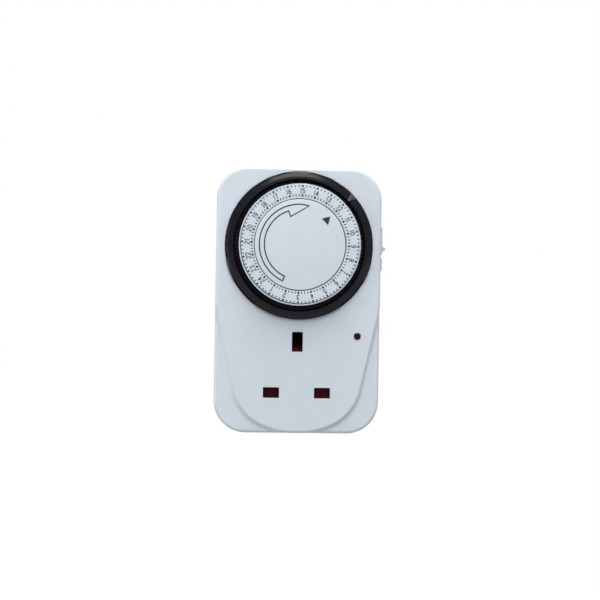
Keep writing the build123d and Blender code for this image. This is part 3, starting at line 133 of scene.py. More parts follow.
STEM_HALF = 0.65  # half the width of a tappet's stem
HEAD_GAP = 0.09  # half the gap between two tappets
STEM = np.array([(26.6, 25.8), (27.9, 25.8), (27.9, 34.8), (26.6, 34.8)])
HEAD = np.array([(26.6, 34.6), (29.15, 34.6), (29.15, 36.48), (28.0, 37.2), (26.6, 37.2)])
CAMERA_PLACE = (-0.02796, -0.536, 0.02339)
CAMERA_TURN = ((-3.292, "Z"), (90 + 0.685, "X"), (0.961, "Z"))  # degrees about axes
CAMERA_LENS = 69.07


# ---------------------------------------------------------------- settings
class HousingLook(bpy.types.PropertyGroup):
    """Sizes and colours of the white housing"""

    white: FloatVectorProperty(
        name="White", description="Colour of the white plastic", subtype="COLOR",
        size=3, min=0, max=1, default=(0.585, 0.645, 0.71),
    )
    rim: FloatProperty(
        name="Rim", description="Radius of the face's outer rim, in mm", default=1.5, min=0.4, max=2.5
    )
    step_width: FloatProperty(
        name="Step", description="Width of the soft step beside the raised tongue, in mm",
        default=1.8, min=1, max=4,
    )


class DialLook(bpy.types.PropertyGroup):
    """Sizes and colours of the dial"""

    ink: FloatVectorProperty(
        name="Ink", description="Colour of the printed scale", subtype="COLOR",
        size=3, min=0, max=1, default=(0.014, 0.014, 0.02),
    )
    number_height: FloatProperty(
        name="Number height", description="Height of the printed numbers, in mm", default=2.35, min=1, max=4
    )
    line: FloatProperty(
        name="Line", description="Width of the arrow's outline, in mm", default=0.56, min=0.1, max=1
    )


class StageLook(bpy.types.PropertyGroup):
    """Lights and floor"""

    upper: FloatProperty(name="Upper lamp", description="Power of the upper lamp", default=12.8, unit="POWER")
    left: FloatProperty(name="Left lamp", description="Power of the left lamp", default=4.2, unit="POWER")
    right: FloatProperty(name="Right lamp", description="Power of the right lamp", default=1.6, unit="POWER")
    ambient: FloatProperty(name="Ambient", description="Strength of the even surrounding light", default=0.24)
    room: FloatProperty(
        name="Room", description="Brightness of the unlit room in front, as gloss shows it", default=0.03
    )
    floor_drop: FloatProperty(
        name="Floor", description="Distance of the floor below the object, in m", default=0.17, unit="LENGTH"
    )
    floor_size: IntProperty(name="Floor size", description="Width of the floor, in m", default=8)


# ---------------------------------------------------------------- meshes
def to_metres(points):
    """(x, depth, z) in mm to metres in the row frame: depth d is y = -d."""
    points = np.asarray(points, dtype=float)
    return np.stack([points[..., 0], -points[..., 1], points[..., 2]], axis=-1) * MM


def front(flat, depth):
    """Points (x, depth, z) from front-view places (x, z) and depths."""
    return np.stack([flat[..., 0], np.broadcast_to(depth, flat.shape[:-1]), flat[..., 1]], -1)


def grid_faces(count_u, count_v, wrap_u, wrap_v):
    """Quads of a grid of points numbered u * count_v + v."""
    u = np.arange(count_u if wrap_u else count_u - 1)[:, None]
    v = np.arange(count_v if wrap_v else count_v - 1)[None, :]
    u_next, v_next = (u + 1) % count_u, (v + 1) % count_v
    corners = (u * count_v + v, u_next * count_v + v, u_next * count_v + v_next, u * count_v + v_next)
    return np.stack(corners, -1).reshape(-1, 4)


def smooth(mesh):
    """Smooth faces, with sharp edges only past an angle."""
    mesh.polygons.foreach_set("use_smooth", np.ones(len(mesh.polygons), dtype=bool))
    mesh.set_sharp_from_angle(angle=SHARP)


def finish_mesh(mesh):
    """Points that coincide merged, faces outwards and smooth."""
    work = bmesh.new()
    work.from_mesh(mesh)
    bmesh.ops.remove_doubles(work, verts=work.verts, dist=1e-7)
    bmesh.ops.recalc_face_normals(work, faces=work.faces)
    work.to_mesh(mesh)
    work.free()
    smooth(mesh)
    mesh.update()
    return mesh


def new_mesh(points, faces, paint=None):
    """A finished mesh from points in mm; paint gives the first faces' material numbers."""
    mesh = bpy.data.meshes.new("surface")
    mesh.from_pydata(to_metres(points), [], faces)
    if paint is not None:
        numbers = np.zeros(len(faces), dtype=np.int32)
        numbers[: len(paint)] = paint
        mesh.polygons.foreach_set("material_index", numbers)
    return finish_mesh(mesh)


def closed_surface(grid, wrap_v=False, poles=(None, None), paint=None):
    """A grid that closes in u, and in v by wrapping or by a point at each end.

    grid is an array of (u, v, 3) in mm; paint gives each quad's material number.
    """
    count_u, count_v = grid.shape[:2]
    points, faces = [grid.reshape(-1, 3)], grid_faces(count_u, count_v, True, wrap_v).tolist()
    around = np.arange(count_u)
    ahead = np.roll(around, -1)
    for pole, v in zip(poles, (0, count_v - 1)):
        if pole is not None:
            tip = np.full(count_u, len(points[0]) + len(points) - 1)
            points.append([pole])
            faces += np.stack([around * count_v + v, ahead * count_v + v, tip], -1).tolist()
    return new_mesh(np.concatenate(points), faces, None if paint is None else paint.reshape(-1))


def thick_sheet(points, under):
    """A grid of points and the grid under it, closed round their edge."""
    count_u, count_v = points.shape[:2]
    total = count_u * count_v
    index = np.arange(total).reshape(count_u, count_v)
    ring = np.concatenate([index[:-1, 0], index[-1, :-1], index[:0:-1, -1], index[0, :0:-1]])
    ahead = np.roll(ring, -1)
    quads = grid_faces(count_u, count_v, False, False)
    walls = np.stack([ring, ahead, ahead + total, ring + total], -1)
    both = np.concatenate([points.reshape(-1, 3), under.reshape(-1, 3)])
    return new_mesh(both, np.concatenate([quads, quads[:, ::-1] + total, walls]).tolist())


def prisms(pairs):
    """Closed prisms, each between two loops of (n, 3) points."""
    points, faces, base = [], [], 0
    for first, second in pairs:
        count = len(first)
        ring = base + np.arange(count)
        ahead = np.roll(ring, -1)
        points += [first, second]
        faces += [ring.tolist(), (count + ring[::-1]).tolist()]
        faces += np.stack([ring, ahead, count + ahead, count + ring], -1).tolist()
        base += 2 * count
    return new_mesh(np.concatenate(points), faces)


def plates(outlines, low, high):
    """Flat plates: each outline of (n, 2) front-view points carried from one depth to another."""
    return prisms([(front(outline, low), front(outline, high)) for outline in outlines])


def joined(meshes):
    """One mesh made of several, which it takes the place of."""
    work = bmesh.new()
    for mesh in meshes:
        work.from_mesh(mesh)
        bpy.data.meshes.remove(mesh)
    whole = bpy.data.meshes.new("joined")
    work.to_mesh(whole)
    work.free()
    return whole


def add_object(name, data):
    """An object in the scene."""
    item = bpy.data.objects.new(name, data)
    bpy.context.scene.collection.objects.link(item)
    return item


def place(name, mesh, body, *finishes, replaces=(), slot=None):
    """A piece from its mesh, with its finishes, riding on a body."""
    mesh.name = name
    piece = add_object(name, mesh)
    for finish in finishes:
        piece.data.materials.append(finish_of(finish))
    if replaces:
        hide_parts(*replaces)
    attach(piece, body)
    return piece


def cut(piece, *cutter_meshes):
    """Takes closed cutters out of a piece, one after the other, and applies that."""
    for cutter_mesh in cutter_meshes:
        cutter = add_object("cutter", cutter_mesh)
        change = piece.modifiers.new("Cut", "BOOLEAN")
        change.operation = "DIFFERENCE"
        change.solver = "EXACT"
        change.object = cutter
        graph = bpy.context.evaluated_depsgraph_get()
        mesh = bpy.data.meshes.new_from_object(piece.evaluated_get(graph))
        piece.modifiers.clear()
        piece.data = mesh
        bpy.data.objects.remove(cutter)
        smooth(mesh)


def coat(piece, finish):
    """Leaves a piece with one finish."""
    piece.data.materials.clear()
    piece.data.materials.append(finish_of(finish))


def round_edges(piece, width):
    """Rounded edges by a Bevel modifier, with a width in mm."""
    bevel = piece.modifiers.new("Edges", "BEVEL")
    bevel.width = width * MM
    bevel.segments = 2
    bevel.limit_method = "ANGLE"
    bevel.angle_limit = radians(28)
    bevel.use_clamp_overlap = True
    bevel.harden_normals = False


def softened(node, name, body, finish, width, slot):
    """A node's own shape with rounded edges: its triangles are merged into flat faces first."""
    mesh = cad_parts[node].data.copy()
    mesh.materials.clear()
    work = bmesh.new()
    work.from_mesh(mesh)
    bmesh.ops.remove_doubles(work, verts=work.verts, dist=2e-6)
    bmesh.ops.dissolve_limit(
        work, angle_limit=radians(1.0), verts=work.verts, edges=work.edges, delimit={"NORMAL"}
    )
    work.to_mesh(mesh)
    work.free()
    smooth(mesh)
    round_edges(place(name, mesh, body, finish, replaces=(node,), slot=slot), width)


def turned(profile, count=360, x=0.0, z=DIAL_Z, wrap=True, poles=(None, None)):
    """A profile of (radius, depth) points turned about an axis along the depth.

    Formula: (x + r cos a, d, z + r sin a) for each angle a and each profile point (r, d).
    """
    angle = np.linspace(0, 2 * pi, count, endpoint=False)[:, None]
    radius, depth = np.asarray(profile, dtype=float).T
    flat = np.stack([x + radius * np.cos(angle), z + radius * np.sin(angle)], -1)
    ends = [None if end is None else (x, end, z) for end in poles]
    return closed_surface(front(flat, depth), wrap_v=wrap, poles=ends)


def rounded(profile, radii, steps=5):
    """Profile points with given corners rounded.

    Formula: each corner becomes a quadratic curve between points that lie the given
    distance before and after it: (1-t)^2 A + 2t(1-t) B + t^2 C.
    """
    profile = np.asarray(profile, dtype=float)
    t = np.linspace(0, 1, steps)[:, None]
    out = []
    for index, (point, reach) in enumerate(zip(profile, radii)):
        if not reach:
            out.append(point[None])
            continue
        before = profile[index - 1] - point
        after = profile[(index + 1) % len(profile)] - point
        start = point + before / np.linalg.norm(before) * reach
        end = point + after / np.linalg.norm(after) * reach
        out.append((1 - t) ** 2 * start + 2 * t * (1 - t) * point + t**2 * end)
    return np.concatenate(out)


# ---------------------------------------------------------------- finishes
class Tree:
    """A node tree with a short way to add nodes."""

    def __init__(self, tree):
        self.nodes, self.links = tree.nodes, tree.links

    def add(self, kind, values=(), wires=(), **options):
        """A node of a kind, with its options, the values of its sockets and what is wired to them."""
        node = self.nodes.new("ShaderNode" + kind)
        for option, value in options.items():
            setattr(node, option, value)
        for socket, value in dict(values).items():
            node.inputs[socket].default_value = value
        for socket, source in dict(wires).items():
            self.links.new(source, node.inputs[socket])
        return node

    def between(self, source, low, high, from_low=0.3, from_high=0.7):
        """A value mapped to a range."""
        values = {"From Min": from_low, "From Max": from_high, "To Min": low, "To Max": high}
        return self.add("MapRange", values, {"Value": source}).outputs["Result"]

    def largest(self, first, *others):
        """The largest of some values."""
        for other in others:
            first = self.add("Math", wires={0: first, 1: other}, operation="MAXIMUM").outputs[0]
        return first


class Finish(Tree):
    """A material under way, with patterns in the object's own coordinates."""

    def __init__(self, name):
        self.material = bpy.data.materials.new(name)
        self.material.use_nodes = True
        super().__init__(self.material.node_tree)
        self.shader = self.nodes["Principled BSDF"]
        self.place = self.add("TexCoord").outputs["Object"]

    def noise(self, size, detail=2.0, stretch=(1, 1, 1)):
        """Noise whose features are about size mm across, longer along an axis with a small stretch."""
        scale = [1 / (size * MM) * factor for factor in stretch]
        mapping = self.add("Mapping", {"Scale": scale}, {"Vector": self.place})
        values = {"Scale": 1.0, "Detail": detail}
        return self.add("TexNoise", values, {"Vector": mapping.outputs["Vector"]}).outputs["Fac"]

    def blend(self, factor, first, second):
        """Two colours mixed by a value."""
        values = {"A": (*first, 1), "B": (*second, 1)}
        return self.add("Mix", values, {"Factor": factor}, data_type="RGBA").outputs["Result"]

    def clouded(self, source, colour, low, high):
        """A colour between a darker and a lighter share of itself."""
        return self.blend(self.between(source, 0, 1), shade(colour, low), shade(colour, high))

    def bumps(self, source, depth, after=None):
        """Relief of a given depth in mm, on top of an earlier one."""
        wires = {"Height": source} if after is None else {"Height": source, "Normal": after}
        return self.add("Bump", {"Distance": depth * MM, "Strength": 1.0}, wires).outputs["Normal"]

    def dress(self, wires, values=()):
        """Wires and sets the shader's sockets, and hands over the material."""
        for socket, source in wires.items():
            self.links.new(source, self.shader.inputs[socket])
        for socket, value in dict(values).items():
            self.shader.inputs[socket].default_value = value
        return self.material


def shade(colour, factor):
    """A colour made lighter or darker."""
    return tuple(min(1.0, part * factor) for part in colour)


def moulded_plastic(
    name, colour, roughness, grain=0.35, relief=0.004, mottle=0.02, level=0.5, spread=0.015
):
    """Moulded plastic: fine grain in the skin, faint clouding, uneven gloss and light handling marks."""
    finish = Finish(name)
    cloud = finish.noise(9.0, detail=2)
    marks = finish.noise(0.8, detail=4, stretch=(1, 1, 0.5))
    skin = finish.bumps(finish.noise(grain, detail=3), relief)
    wires = {
        "Base Color": finish.clouded(cloud, colour, 1 - mottle, 1 + mottle),
        "Roughness": finish.between(marks, roughness - spread, roughness + spread),
        "Normal": finish.bumps(cloud, relief * 2.5, after=skin),
    }
    return finish.dress(wires, {"Specular IOR Level": level})


def drawn_metal(name, colour, roughness, along):
    """Drawn or stamped metal: fine lines along one axis, patches of dull oxide and rubbed brightness."""
    finish = Finish(name)
    stretch = [0.06 if axis == along else 1.0 for axis in range(3)]
    patches = finish.noise(2.4, detail=4)
    wires = {
        "Base Color": finish.clouded(patches, colour, 0.86, 1.06),
        "Roughness": finish.between(patches, roughness + 0.1, roughness - 0.04),
        "Normal": finish.bumps(finish.noise(0.12, detail=3, stretch=stretch), 0.003),
    }
    return finish.dress(wires, {"Metallic": 1.0})


def printed_ink(name, colour):
    """Pad-printed ink: slightly uneven cover with a dull surface."""
    finish = Finish(name)
    cover = finish.noise(0.18, detail=3)
    wires = {
        "Base Color": finish.clouded(cover, colour, 0.8, 1.5),
        "Roughness": finish.between(cover, 0.42, 0.6),
        "Normal": finish.bumps(cover, 0.002),
    }
    return finish.dress(wires)


def wound_wire(name, colour, pitch=0.3):
    """Enamelled wire wound round the depth axis: bands one wire apart with a coppery gloss, the grooves
    between the wires painted darker as painted shade.
    """
    finish = Finish(name)
    values = {"Scale": 1 / (pitch * MM) / 20, "Distortion": 0.4}
    bands = finish.add("TexWave", values, {"Vector": finish.place}, bands_direction="Y").outputs["Fac"]
    # Painted shade: the colour falls to 0.55 of itself in the grooves between the wires.
    groove_shade = finish.blend(bands, shade(colour, 0.55), colour)
    wires = {"Base Color": groove_shade, "Normal": finish.bumps(bands, 0.08)}
    return finish.dress(wires, {"Metallic": 0.8, "Roughness": 0.35})


def tinted_lens(name, colour, clear=0.35, level=0.5):
    """Tinted plastic, clear by a given share, with a faint cloud inside."""
    finish = Finish(name)
    cloud = finish.noise(0.8, detail=2)
    wires = {
        "Base Color": finish.clouded(cloud, colour, 0.75, 1.25),
        "Roughness": finish.between(cloud, 0.08, 0.16),
    }
    return finish.dress(wires, {"Transmission Weight": clear, "Specular IOR Level": level, "IOR": 1.49})


PLASTICS = {  # colour, roughness and what differs from plain plastic; the settings give the whites
    "housing_white": (None, 0.34, {}),
    "dial_white": (None, 0.3, {"relief": 0.003}),
    "ring_black": (
        (0.011, 0.011, 0.015), 0.2,
        {"grain": 0.6, "relief": 0.003, "mottle": 0.15, "level": 0.15, "spread": 0.03},
    ),
    "tappet_black": ((0.0028, 0.0028, 0.0036), 0.35, {"mottle": 0.15, "level": 0.15}),
    "notch_maroon": ((0.012, 0.003, 0.002), 0.5, {"mottle": 0.2, "level": 0.15}),
    "pointer_grey": ((0.055, 0.055, 0.075), 0.3, {"mottle": 0.1, "level": 0.3}),
    "pointer_line": ((0.03, 0.003, 0.004), 0.4, {"mottle": 0.1, "level": 0.1}),
    "shutter_red": ((0.05, 0.007, 0.011), 0.6, {"mottle": 0.15, "level": 0.05}),
    "sleeve_black": ((0.02, 0.02, 0.022), 0.5, {"relief": 0.006}),
    # Painted shade: the brass earth contact is coloured near black and matt because it sits deep in its slot,
    # where shade falls.
    "earth_contact_painted_shade": ((0.030, 0.022, 0.014), 0.5, {"level": 0.1}),
    "lead_black": ((0.03, 0.03, 0.035), 0.45, {}),
    "magnet_grey": ((0.05, 0.05, 0.055), 0.5, {"relief": 0.01}),
    "gear_acetal": ((0.76, 0.74, 0.66), 0.42, {}),
    "lever_nylon": ((0.70, 0.69, 0.66), 0.45, {}),
    "resistor_tan": ((0.45, 0.33, 0.19), 0.35, {}),
}
METALS = {  # colour, roughness and the axis of the drawing lines
    "pin_brass": ((0.80, 0.64, 0.33), 0.26, 1),
    "contact_brass": ((0.78, 0.60, 0.28), 0.3, 1),
    "screw_zinc": ((0.62, 0.63, 0.65), 0.28, 0),
    "can_steel": ((0.62, 0.62, 0.60), 0.32, 1),
    "shaft_steel": ((0.60, 0.60, 0.62), 0.2, 1),
    "spring_steel": ((0.50, 0.50, 0.52), 0.3, 0),
}
FINISHES = {}


def new_finish(key):
    """Makes the finish of a name."""
    if key in PLASTICS:
        colour, roughness, settings = PLASTICS[key]
        white = bpy.context.scene.timer_housing.white
        return moulded_plastic(key, tuple(colour or white), roughness, **settings)
    if key in METALS:
        return drawn_metal(key, *METALS[key])
    if key == "scale_ink":
        return printed_ink(key, tuple(bpy.context.scene.timer_dial.ink))
    if key == "coil_copper":
        return wound_wire(key, (0.55, 0.24, 0.10))
    if key == "lens_red":
        return tinted_lens(key, (0.032, 0.002, 0.002), clear=0.0, level=0.15)
    return tinted_lens(key, (0.85, 0.62, 0.50))


def finish_of(key):
    """The finish of a name, made once."""
    if key not in FINISHES:
        FINISHES[key] = new_finish(key)
    return FINISHES[key]


# ---------------------------------------------------------------- housing surfaces
def outline_points(count):
    """Points and outward normals along the housing's front outline, evenly spaced.

    Formula: a rounded rectangle followed by length: four straights and four quarter
    circles; on an arc the point is centre + r (cos a, sin a) and the normal (cos a, sin a).
    """
    flat_x, flat_z, arc = HALF_WIDTH - CORNER, HALF_HEIGHT - CORNER, CORNER * pi / 2
    lengths = np.array([2 * flat_z, arc, 2 * flat_x, arc] * 2)
    ends = np.cumsum(lengths)
    s = np.linspace(0, ends[-1], count, endpoint=False)
    part = np.searchsorted(ends, s, side="right")
    along = s - (ends - lengths)[part]
    quarter = part // 2
    centre = np.array([(1, 1), (-1, 1), (-1, -1), (1, -1)])[quarter] * (flat_x, flat_z)
    on_arc = part % 2 == 1
    angle = quarter * pi / 2 + np.where(on_arc, along / CORNER, 0)
    normal = np.stack([np.cos(angle), np.sin(angle)], -1)
    tangent = np.stack([-normal[:, 1], normal[:, 0]], -1)
    back = np.where(on_arc, 0, lengths[part] - along)[:, None]
    point = centre + CORNER * normal - tangent * back
    return point, normal


def tongue_distance(x, z):
    """Signed distance from the raised tongue's outline in the front view, positive outside it.

    Formula: the tongue is the shape that a disc of radius f sweeps inside two leaning
    flanks and a nose circle, so the distance is that to the same flanks and circle drawn
    in by f, less f. Heights are measured from the middle of the housing.
    """
    lean, nose, fillet, waist_z = radians(12.6), 36.0, 22.0, -1.0
    nose_z = -HALF_HEIGHT + 0.5 + nose
    x = np.abs(x)
    normal = np.array([cos(lean), -sin(lean)])
    tangent = np.array([sin(lean), cos(lean)])
    start = np.array([HALF_WIDTH, waist_z]) - fillet * normal
    from_nose = start - np.array([0.0, nose_z])
    reach = nose - fillet
    half = from_nose @ tangent
    root = np.sqrt(half * half - (from_nose @ from_nose - reach * reach))
    vertex = start + tangent * (-half - root)
    to_flank = (x - start[0]) * normal[0] + (z - start[1]) * normal[1]
    to_nose = np.hypot(x, z - nose_z) - reach
    to_vertex = np.hypot(x - vertex[0], z - vertex[1])
    past_flank = (x - vertex[0]) * tangent[0] + (z - vertex[1]) * tangent[1] < 0
    nose_turn = np.arctan2(vertex[1] - nose_z, vertex[0])
    past_nose = np.arctan2(z - nose_z, x) > nose_turn
    outside = np.where(past_flank, np.where(past_nose, to_vertex, to_nose), to_flank)
    inside = np.maximum(to_flank, np.where(z < nose_z, to_nose, -reach))
    within = (to_flank < 0) & ((z > nose_z) | (to_nose < 0))
    return np.where(within, inside, outside) - fillet


def smooth_step(value):
    """0 below 0, 1 above 1, and 3v^2 - 2v^3 between."""
    value = np.clip(value, 0, 1)
    return value * value * (3 - 2 * value)


def face_depth(x, z):
    """Depth of the face: full height on the tongue, and an S-shaped step down beside it."""
    width = bpy.context.scene.timer_housing.step_width
    return FACE - STEP * smooth_step((tongue_distance(x, z) + width / 4) / width)


def housing_surface(count=640, rays=96):
    """The whole front moulding as one closed surface.

    Formula: for every point of the outline a profile runs from the post in the dial's
    well, over the well's floor and wall, along a straight ray across the face, round the
    rim by (R - R sin a, R - R cos a), down the side, up inside, and back under the well.
    """
    rim = bpy.context.scene.timer_housing.rim
    outline, normal = outline_points(count)
    dial = np.array([0.0, DIAL_Z - MIDDLE_Z])

    columns = []

    def add(flat, depth):
        """Adds one step of the profile, from front-view places and depths."""
        columns.append(front(flat + (0, MIDDLE_Z), depth))

    rim_start = outline - rim * normal
    reach = np.linalg.norm(rim_start - dial, axis=1)[:, None]
    ray = (rim_start - dial) / reach
    post = [(POST_RADIUS - 0.3, POST_TOP), (POST_RADIUS, POST_TOP - 0.3), (POST_RADIUS, WELL_FLOOR)]
    for radius, depth in [*post, (17.0, WELL_FLOOR), (WELL_RADIUS, WELL_FLOOR), (WELL_RADIUS, FACE - 0.3)]:
        add(dial + radius * ray, depth)
    first = WELL_RADIUS + 0.3
    for share in np.linspace(0, 1, rays):
        flat = dial + (first + (reach - first) * share) * ray
        add(flat, face_depth(flat[:, 0], flat[:, 1]))
    for angle in np.radians(np.arange(10, 91, 10)):
        flat = outline - (rim - rim * np.sin(angle)) * normal
        add(flat, face_depth(flat[:, 0], flat[:, 1]) - rim * (1 - np.cos(angle)))
    side_top = columns[-1][:, 1]
    for share in (0.1, 0.4, 0.8):
        add(outline, side_top + (SEAM + 0.25 - side_top) * share)
    add(outline, SEAM + 0.25)
    add(outline - 0.25 * normal, SEAM)
    inner = outline - WALL * normal
    add(inner, SEAM)
    add(inner, CEILING)
    inner_reach = np.linalg.norm(inner - dial, axis=1)[:, None]
    inner_ray = (inner - dial) / inner_reach
    well = np.minimum(WELL_RADIUS + WELL_WALL, inner_reach - 0.1)
    add(dial + (inner_reach + well) / 2 * inner_ray, CEILING)
    add(dial + well * inner_ray, CEILING)
    add(dial + well * inner_ray, WELL_UNDER)
    grid = np.stack(columns, axis=1)
    return closed_surface(grid, poles=((0, POST_TOP, DIAL_Z), (0, WELL_UNDER, DIAL_Z)))


def flared_cutter(openings, low, high):
    """Closed cutters that widen slightly where they leave the face."""
    steps = [(low, 0.0), (high - 0.15, 0.0), (high - 0.05, 0.04), (high, 0.15), (high + 1.0, 1.15)]
    meshes = []
    for outline, centre in openings:
        size = np.abs(outline).max(axis=0)
        rows = [front(outline * (1 + grow / size) + centre, depth) for depth, grow in steps]
        ends = [(centre[0], depth, centre[1]) for depth in (low, high + 1.0)]
        meshes.append(closed_surface(np.stack(rows, axis=1), poles=ends))
    return joined(meshes)


def rectangle(width, height, moulding=0.18):
    """Corners of a rectangle round the origin, with a tiny moulding radius."""
    half = np.array([width, height]) / 2
    near_x, near_z = moulding / half[0], moulding / half[1]
    base = [
        (1, -1 + near_z), (1, 1 - near_z), (1 - near_x, 1), (-1 + near_x, 1),
        (-1, 1 - near_z), (-1, -1 + near_z), (-1 + near_x, -1), (1 - near_x, -1),
    ]
    return np.array(base) * half


def disc_outline(radius, count=40):
    """Points of a circle round the origin."""
    angle = np.linspace(0, 2 * pi, count, endpoint=False)
    return radius * np.stack([np.cos(angle), np.sin(angle)], -1)


def box_mesh(low, high):
    """A closed box between two corners (x, depth, z)."""
    outline = np.array([(low[0], low[2]), (high[0], low[2]), (high[0], high[2]), (low[0], high[2])])
    return plates([outline], low[1], high[1])


def switch_slot():
    """Cutter of the side switch's slot."""
    low, high = SWITCH_DEPTH - SWITCH_HALF, SWITCH_DEPTH + SWITCH_HALF
    return box_mesh((32.5, low, SWITCH_Z - 6.5), (38.5, high, SWITCH_Z + 1.5))


def surround_surface(count_d=56, count_z=128):
    """Raised plate round the side switch.

    Formula: over the plate's width and length the height out of the side is
    1.4 * edge(d) * edge(z) - groove - scoop, where edge is a smooth step 0.8 mm wide,
    groove is 0.4 max(0, sin(2 pi (0.3 d + z) / 1.7)) beyond the slot's ends: slanting
    ribs, and scoop is a hollow 0.7 deep under the thumb piece, exp(-((z + 3.4) / 0.9)^2).
    """
    half_d, half_z, proud, base = 4.0, 10.1, 1.4, HALF_WIDTH - 0.6
    d = np.linspace(-half_d, half_d, count_d)[:, None]
    z = np.linspace(-half_z, half_z, count_z)[None, :]
    edge = smooth_step((half_d - np.abs(d)) / 0.8) ** 0.5 * smooth_step((half_z - np.abs(z)) / 0.8) ** 0.5
    beyond = smooth_step((np.abs(z + 2.5) - 4.6) / 0.3) * smooth_step((half_z - 0.5 - np.abs(z)) / 0.3)
    across = smooth_step((half_d - 0.7 - np.abs(d)) / 0.3)
    groove = 0.4 * np.maximum(0, np.sin(2 * pi * (0.3 * d + z) / 1.7)) * beyond * across
    scoop = 0.7 * np.exp(-(((z + 3.4) / 0.9) ** 2)) * edge
    top = HALF_WIDTH + proud * edge - groove - scoop - 0.02
    points = np.stack(np.broadcast_arrays(top, SWITCH_DEPTH + d, SWITCH_Z + z), -1)
    under = points.copy()
    under[..., 0] = base
    return thick_sheet(points, under)


class TIMER_OT_housing(bpy.types.Operator):
    """Build the white front moulding with its slots"""

    bl_idname = "timer.housing"
    bl_label = "Front moulding"

    def execute(self, context):
        shell = place(
            "housing_shell", housing_surface(), "case", replaces=("front_housing",), slot="white_plastic"
        )
        power = rectangle(SLOT_LONG, SLOT_SHORT)
        openings = [
            (power, (-LINE_X, ROW_Z)),
            (power, (LINE_X, ROW_Z)),
            (rectangle(SLOT_SHORT, EARTH_SLOT), (0, EARTH_Z)),
            (disc_outline(LENS_RADIUS), (LENS_X, LENS_Z)),
        ]
        window = [(disc_outline(WINDOW_RADIUS), (-WINDOW_OFFSET, DIAL_Z - WINDOW_OFFSET))]
        nose_z, well = DIAL_Z + NOSE_OFFSET, (WELL_UNDER - 1, WELL_FLOOR)
        nose = box_mesh((NOSE_OFFSET - 1.7, 19.0, nose_z - 2), (NOSE_OFFSET + 1.7, 23.0, nose_z + 2))
        bore = box_mesh((-2, 31.2, DIAL_Z - 2), (2, 39, DIAL_Z + 2))
        slots = flared_cutter(openings, CEILING - 1, FACE)
        cut(shell, slots, switch_slot(), flared_cutter(window, *well), nose, bore)
        coat(shell, "housing_white")
        surround = place("switch_surround", surround_surface(), "case", slot="white_plastic")
        cut(surround, switch_slot())
        coat(surround, "housing_white")
        return {"FINISHED"}


# ---------------------------------------------------------------- back
def screw_surface(count=96):
    """One pan-head screw seen from the wall side, round the origin.

    Formula: over a disc of radius R the head rises by h (1 - (r/R)^4)^(1/2), less a
    cross-shaped recess 0.75 wide whose walls are smooth steps; the shank is a cylinder.
    """
    radius, rise, deep, arm_width, arm_length = 2.68, 1.7, 1.1, 0.36, 1.45
    angle = np.linspace(0, 2 * pi, count, endpoint=False)[:, None]
    ring = np.concatenate([np.linspace(0.06, 0.9, 22), [0.95, 0.98, 1.0]])[None, :] * radius
    x, z = ring * np.cos(angle), ring * np.sin(angle)
    dome = rise * np.sqrt(np.clip(1 - (ring / radius) ** 4, 0, 1))
    far_x, far_z = np.abs(x), np.abs(z)
    arm = np.minimum(
        np.maximum(far_x - arm_width, far_z - arm_length), np.maximum(far_z - arm_width, far_x - arm_length)
    )
    height = np.broadcast_to(dome, x.shape) - deep * smooth_step(0.5 - arm / 0.16)
    top = np.stack([x, -height, z], -1)
    shank = ((radius, 0.0), (1.18, 0.0), (1.18, 12.5), (0.6, 13.0))
    lower = [np.stack([r * np.cos(angle), np.full_like(angle, d), r * np.sin(angle)], -1) for r, d in shank]
    return np.concatenate([top, *lower], axis=1)


class TIMER_OT_back(bpy.types.Operator):
    """Build the rear cover, its screws, the plug pins and their sleeves"""

    bl_idname = "timer.back"
    bl_label = "Rear cover and plug"

    def execute(self, context):
        softened("rear_cover", "cover_shell", "case", "housing_white", 0.3, "white_plastic")
        for node in ("neutral_pin", "live_pin", "earth_pin"):
            softened(node, f"{node}_finished", "case", "pin_brass", 0.22, "pin_metal")
        softened("pin_sleeves", "pin_sleeves_finished", "case", "sleeve_black", 0.12, "sleeve_black")
        low, high = box_mm("cover_screws")
        seat, radius, screw = low[1] + 1.8, 2.7, screw_surface()
        screws = []
        for x in (low[0] + radius, high[0] - radius):
            for z in (low[2] + radius, high[2] - radius):
                ends = (x, seat - 0.6, z), (x, seat + 13.0, z)
                screws.append(closed_surface(screw + (x, seat, z), poles=ends))
        mesh = finish_mesh(joined(screws))
        place("pan_head_screws", mesh, "case", "screw_zinc", replaces=("cover_screws",), slot="screw_steel")
        return {"FINISHED"}


